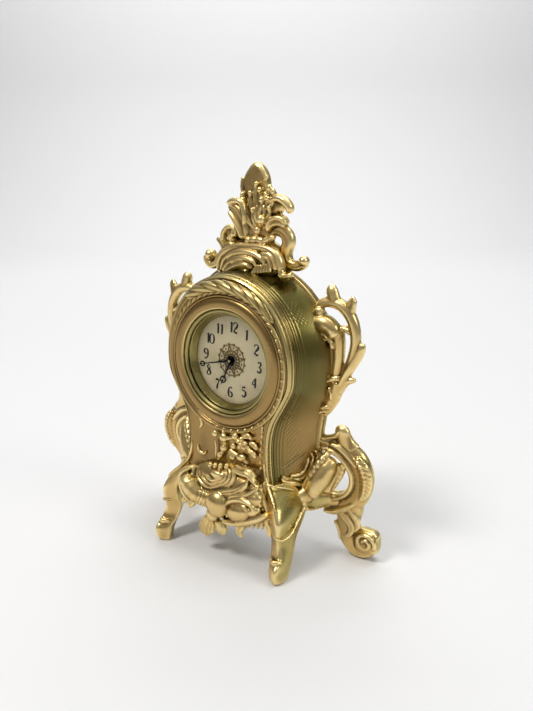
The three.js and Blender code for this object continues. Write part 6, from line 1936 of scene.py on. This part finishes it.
    def numerals(self) -> Form:
        """The twelve numerals and the dots of the minutes, as thin ink on the dial."""
        depth, size = self.dial_front - 0.05, self.numeral_height
        forms = []
        for hour in range(1, 13):
            digits = str(hour)
            for place, digit in enumerate(digits):
                aside = (place - (len(digits) - 1) / 2.0) * 0.44
                for points, widths in self.strokes(digit):
                    moved = [(x + aside, z) for x, z in points]
                    line = self.on_dial(moved, self.numeral_radius, hour * 30.0, size, depth)
                    half = [(1.25 * w + 0.012) * size for w in widths]
                    forms.append(sweep(line, half, 0.05, PLAIN, FRONT, (0.15, 0.15), sides=8, step=0.3))
        for minute in range(60):
            x, y, z = self.on_dial([(0, 0)], self.sight_radius - 0.9, minute * 6.0, 1.0, depth)[0]
            size_now = 0.26 if minute % 5 == 0 else 0.15
            forms.append(bead((x, y, z), (size_now, 0.05, size_now)))
        return joined(forms)

    def rosette(self) -> Form:
        """The pierced rosette: two rings, scrolls between them, and a scalloped edge."""
        y = self.dial_front - 0.3
        forms = []
        for radius, half in ((9.2, 0.32), (5.6, 0.55), (3.6, 0.5)):
            angle = np.linspace(0.0, 2.0 * pi, 49)
            ring = [(radius * cos(a), y, DIAL_HEIGHT + radius * sin(a)) for a in angle.tolist()]
            forms.append(sweep(ring, half, 0.22, PLAIN, FRONT, (0.01, 0.01), sides=8, step=0.4))
        for k in range(16):
            a = 2.0 * pi * k / 16.0
            turn = 0.5 * (-1) ** k
            line = [
                (r * cos(a + turn * (r - 5.5) / 9.0), y, DIAL_HEIGHT + r * sin(a + turn * (r - 5.5) / 9.0))
                for r in (5.2, 6.4, 7.6, 8.8, 9.4)
            ]
            forms.append(sweep(line, [0.3, 0.4, 0.3, 0.4, 0.3], 0.22, PLAIN, FRONT, (0.2, 0.2),
                               sides=8, step=0.4))
            mid = a + pi / 16.0
            for reach, size, thick in ((7.5, 0.55, 0.25), (9.6, 0.8, 0.22), (4.6, 0.5, 0.25)):
                place = (reach * cos(mid), y, DIAL_HEIGHT + reach * sin(mid))
                forms.append(bead(place, (size, thick, size)))
        return joined(forms)

    def hand(self, length: float, angle: float, depth: float, spade: float, hub: float) -> Form:
        """A hand: a blade that swells to a pierced spade near its tip, on a round hub.

        Args:
            length: hub to tip.
            angle: clockwise bearing in degrees.
            depth: depth of its middle.
            spade: half width of the spade.
            hub: radius of the hub.

        Returns:
            The closed forms of the hand.
        """
        a = radians(angle)

        def at(reach: float, aside: float) -> Triple:
            """A place on the hand's own axes."""
            return (
                reach * sin(a) + aside * cos(a),
                depth,
                DIAL_HEIGHT + reach * cos(a) - aside * sin(a),
            )

        def bar(points: Points, widths: Values | float, tips: Pair = (0.2, 0.2),
                step: float = 0.55) -> Form:
            """A thin flat bar of the hand along a line."""
            return sweep(points, widths, 0.24, PLAIN, FRONT, tips, 3.0, 12, step)

        tip = length - 3.4 * spade
        forms = [
            bar([at(1.2, 0), at(tip * 0.6, 0), at(tip + spade, 0)], [0.62, 0.42, 0.34]),
            bar([at(tip + spade, 0), at(length - spade, 0), at(length, 0)], [0.5, 0.34, 0.16], (0.2, 0.3)),
        ]
        for side in (-1.0, 1.0):
            bow = [
                at(tip - 0.4, 0.1 * side),
                at(tip + 0.9 * spade, spade * side),
                at(tip + 2.0 * spade, 0.8 * spade * side),
                at(length - 0.8 * spade, 0.06 * side),
            ]
            forms.append(bar(bow, [0.3, 0.46, 0.4, 0.2]))
        angles = np.linspace(0.0, 2.0 * pi, 25)
        ring = [at((hub - 0.55) * cos(t), (hub - 0.55) * sin(t)) for t in angles.tolist()]
        forms.append(bar(ring, 0.55, (0.01, 0.01), 0.3))
        return joined(forms)

    def bezel(self) -> Form:
        """The polished ring that holds the glass: a rounded section with a lip over the glass."""
        r = self.bezel_radius
        angle = np.linspace(-20.0, 180.0, 14)
        crown = [(r - 0.95 + 0.95 * cos(radians(a)), -1.2 - 0.95 * sin(radians(a))) for a in angle.tolist()]
        return turned(
            [(r, 1.2), *crown, (r - 2.1, -1.25), (r - 2.1, -1.2), (r - 1.5, -1.2), (r - 1.5, 1.2)], 240
        )

    def sight_ring(self) -> Form:
        """The sloping brass ring: a cone from the glass down to the dial, with a small step at its foot."""
        top, foot = 28.9, self.sight_radius
        slope = [(top - 0.5 - (top - 0.5 - foot) * t, 0.25 + 4.0 * t) for t in np.linspace(0.0, 1.0,
                                                                                           12).tolist()]
        return turned([(top, 0.2), *slope, (foot, 4.6), (top, 4.7)], 240)

    def dial_disc(self) -> Form:
        """The dial: a flat ring with rounded edges round the pipe's hole."""
        return turned(
            [(2.4, 5.1), (2.5, 5.0), (12, 5.0), (20, 5.0), (28.6, 5.0), (28.8, 5.15), (28.8, 5.8),
             (2.4, 5.8)], 180
        )

    def glass_disc(self) -> Form:
        """The glass: a thin disc with ground edges, closed at its middle."""
        return turned(
            [(0.001, -1.05), (14, -1.05), (29.1, -1.05), (29.25, -0.9), (29.25, -0.3), (29.1, -0.15),
             (0.001, -0.15)], 120
        )

    def make(self, bench: Bench, finishes: Finishes) -> None:
        """Builds and dresses the dial's pieces."""
        hour = self.hand(17.5, self.hour_angle, 3.95, 1.7, 2.9)
        minute = self.hand(24.5, self.minute_angle, 3.15, 1.3, 2.4)
        for name, form, finish, body, nodes, slot, crease in (
            ("bezel_ring", self.bezel(), finishes.sight_brass, "case", ["bezel"], "brass", None),
            ("sight_ring_turned", self.sight_ring(), finishes.sight_brass, "case", ["sight_ring"],
             "brass", None),
            ("dial_painted", self.dial_disc(), finishes.dial, "case", ["dial"], "dial", 40.0),
            ("dial_numerals", self.numerals(), finishes.ink, "case", (), "dial", None),
            ("dial_rosette_pierced", self.rosette(), finishes.rosette, "case", ["dial_rosette"],
             "brass", None),
            ("dial_glass_pane", self.glass_disc(), finishes.glass, "case", ["glass"], "glass", 30.0),
            ("hour_hand_pierced", hour, finishes.blued, "hour", ["hour_hand"], "blued", None),
            ("minute_hand_pierced", minute, finishes.blued, "centre", ["minute_hand"], "blued", None),
        ):
            piece = bench.mesh(name, form)
            if crease is not None:
                piece.data.set_sharp_from_angle(angle=radians(crease))
            bench.dress(piece, finish, body, nodes, slot)


@dataclass
class Works:
    """The carried-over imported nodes: the movement, the back and the screws, each with its finish."""

    nodes: dict[str, Piece]

    def make(self, finishes: Finishes) -> None:
        """Gives every node that still shows a material by the kind of part that it is."""
        kinds = (
            (finishes.back_gilt, ("back_plate",)),
            (finishes.blued, ("hand_nut", "hairspring")),
            (finishes.steel, ("back_screw", "arbor", "lever", "click", "mainspring",
                              "regulator", "pillar")),
        )
        for name, packed in self.nodes.items():
            material = next((m for m, words in kinds if any(word in name for word in words)),
                            finishes.brass)
            packed.data.materials.clear()
            packed.data.materials.append(material)


@dataclass
class Studio:
    """The pale floor and backdrop, the lamps, the world and the camera.

    Attributes:
        shift: depth of the drawing frame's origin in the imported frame, in millimetres.
    """

    shift: float
    place: Triple = CAMERA_PLACE
    azimuth: float = 35.56
    elevation: float = 13.92
    roll: float = -0.18
    focal_pixels: float = 660.44
    image_height: float = 711.0
    sensor: float = 36.0
    floor_colour: Triple = (0.74, 0.74, 0.745)

    def backdrop(self) -> Piece:
        """The floor that curves up into a backdrop: a line bent by a quarter circle, drawn out sideways.

        Returns:
            The object.
        """
        radius, back, front, top, half = 0.7, 2.6, -3.0, 3.2, 4.0
        bend = np.linspace(-pi / 2, 0.0, 24)
        depth = np.concatenate([[front, 0.0], back - radius + radius * np.cos(bend), [back]])
        height = np.concatenate([[0.0, 0.0], radius + radius * np.sin(bend), [top]])
        aim = radians(self.azimuth)
        across = np.linspace(-half, half, 9)
        x = across[:, None] * cos(aim) - depth[None, :] * sin(aim)
        y = across[:, None] * sin(aim) + depth[None, :] * cos(aim)
        z = np.broadcast_to(height[None, :], x.shape)
        sheet = grid(np.stack([x, y, z], axis=-1) / MM, wrap_columns=False)
        data = bpy.data.meshes.new("backdrop")
        data.from_pydata((sheet.points * MM).tolist(), [], sheet.faces.tolist())
        data.polygons.foreach_set("use_smooth", np.ones(len(data.polygons), dtype=bool))
        piece = bpy.data.objects.new("backdrop", data)
        bpy.context.scene.collection.objects.link(piece)
        material = bpy.data.materials.new("backdrop_paper")
        material.use_nodes = True
        shader = material.node_tree.nodes["Principled BSDF"]
        shader.inputs["Base Color"].default_value = (*self.floor_colour, 1.0)
        shader.inputs["Roughness"].default_value = 0.9
        shader.inputs["Specular IOR Level"].default_value = 0.1
        data.materials.append(material)
        return piece

    def lamp(
        self,
        name: str,
        place: Sequence[float],
        size: float,
        power: float,
        colour: Sequence[float] = (1.0, 1.0, 1.0),
        target: Sequence[float] = (0.0, 0.0, 0.11),
    ) -> None:
        """A square soft lamp aimed at a target, which is the clock's middle unless another is given.

        Args:
            name: its name.
            place: where it hangs, in metres.
            size: its side.
            power: its power in watts.
            colour: its colour.
            target: what it is aimed at, in metres.
        """
        data = bpy.data.lights.new(name, "AREA")
        data.size = size
        data.energy = power
        data.color = colour
        lamp = bpy.data.objects.new(name, data)
        aim = Vector(target) - Vector(place)
        lamp.matrix_world = Matrix.Translation(place) @ aim.to_track_quat("-Z", "Y").to_matrix().to_4x4()
        bpy.context.scene.collection.objects.link(lamp)

    def world(self) -> None:
        """A grey room: darker below and in front, lighter above, by the height of the direction."""
        world = bpy.data.worlds.new("studio_room")
        bpy.context.scene.world = world
        world.use_nodes = True
        tree = world.node_tree
        background = tree.nodes["Background"]
        place = tree.nodes.new("ShaderNodeTexCoord")
        split = tree.nodes.new("ShaderNodeSeparateXYZ")
        link(tree, place.outputs["Generated"], split.inputs[0])
        height = ramped(tree, split.outputs["Z"], -0.1, 0.9, 0.0, 1.0)
        link(tree, mixed(tree, height, (0.24, 0.235, 0.22), (0.62, 0.63, 0.65)), background.inputs["Color"])
        background.inputs["Strength"].default_value = 0.7

    def camera(self) -> None:
        """The camera: placed by its azimuth, elevation and roll, with its lens from the focal length."""
        a, e, r = radians(self.azimuth), radians(self.elevation), radians(self.roll)
        back = Vector((sin(a) * cos(e), -cos(a) * cos(e), sin(e)))
        right = Vector((cos(a), sin(a), 0.0))
        up = back.cross(right)
        right, up = right * cos(r) + up * sin(r), up * cos(r) - right * sin(r)
        data = bpy.data.cameras.new("camera")
        data.sensor_fit = "VERTICAL"
        data.sensor_height = self.sensor
        data.lens = self.sensor * self.focal_pixels / self.image_height
        data.clip_start = 0.01
        camera = bpy.data.objects.new("camera", data)
        place = Vector((self.place[0], self.place[1] + self.shift, self.place[2])) * MM
        axes = Matrix((right, up, back)).transposed().to_4x4()
        camera.matrix_world = Matrix.Translation(place) @ axes
        bpy.context.scene.collection.objects.link(camera)
        bpy.context.scene.camera = camera

    def make(self) -> None:
        """Sets up the whole studio."""
        bpy.context.scene.view_settings.view_transform = "Standard"
        self.backdrop()
        self.world()
        self.lamp("key", (-0.3, -0.85, 1.5), 0.4, 13.5, (1.0, 0.97, 0.93))
        self.lamp("top", (0.3, 0.2, 1.5), 0.6, 6.0)
        self.lamp("side", (1.45, 0.05, 1.0), 0.5, 5.0, (0.98, 1.0, 0.94))
        self.lamp("wall", (-0.93, 1.30, 2.2), 2.0, 40.0, (1.0, 1.0, 1.0), (-1.6, 2.25, 0.7))
        self.camera()


def main() -> None:
    """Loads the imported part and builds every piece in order."""
    logging.basicConfig(level=logging.INFO, format="%(message)s")
    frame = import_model()
    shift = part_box("body_shell")[0][1] / MM - BODY_FRONT
    bench = Bench(shift)
    finishes = Finishes()
    Body().make(bench, finishes)
    for ornament in (Crest(), SideHandle(), RearLeg(), FrontLeg(), Apron(), PanelSpray()):
        ornament.make(bench, finishes)
    Dial().make(bench, finishes)
    Works(frame["nodes"]).make(finishes)
    Studio(shift).make()
    LOG.info("%d pieces", len(bench.made))


if __name__ == "__main__":
    main()
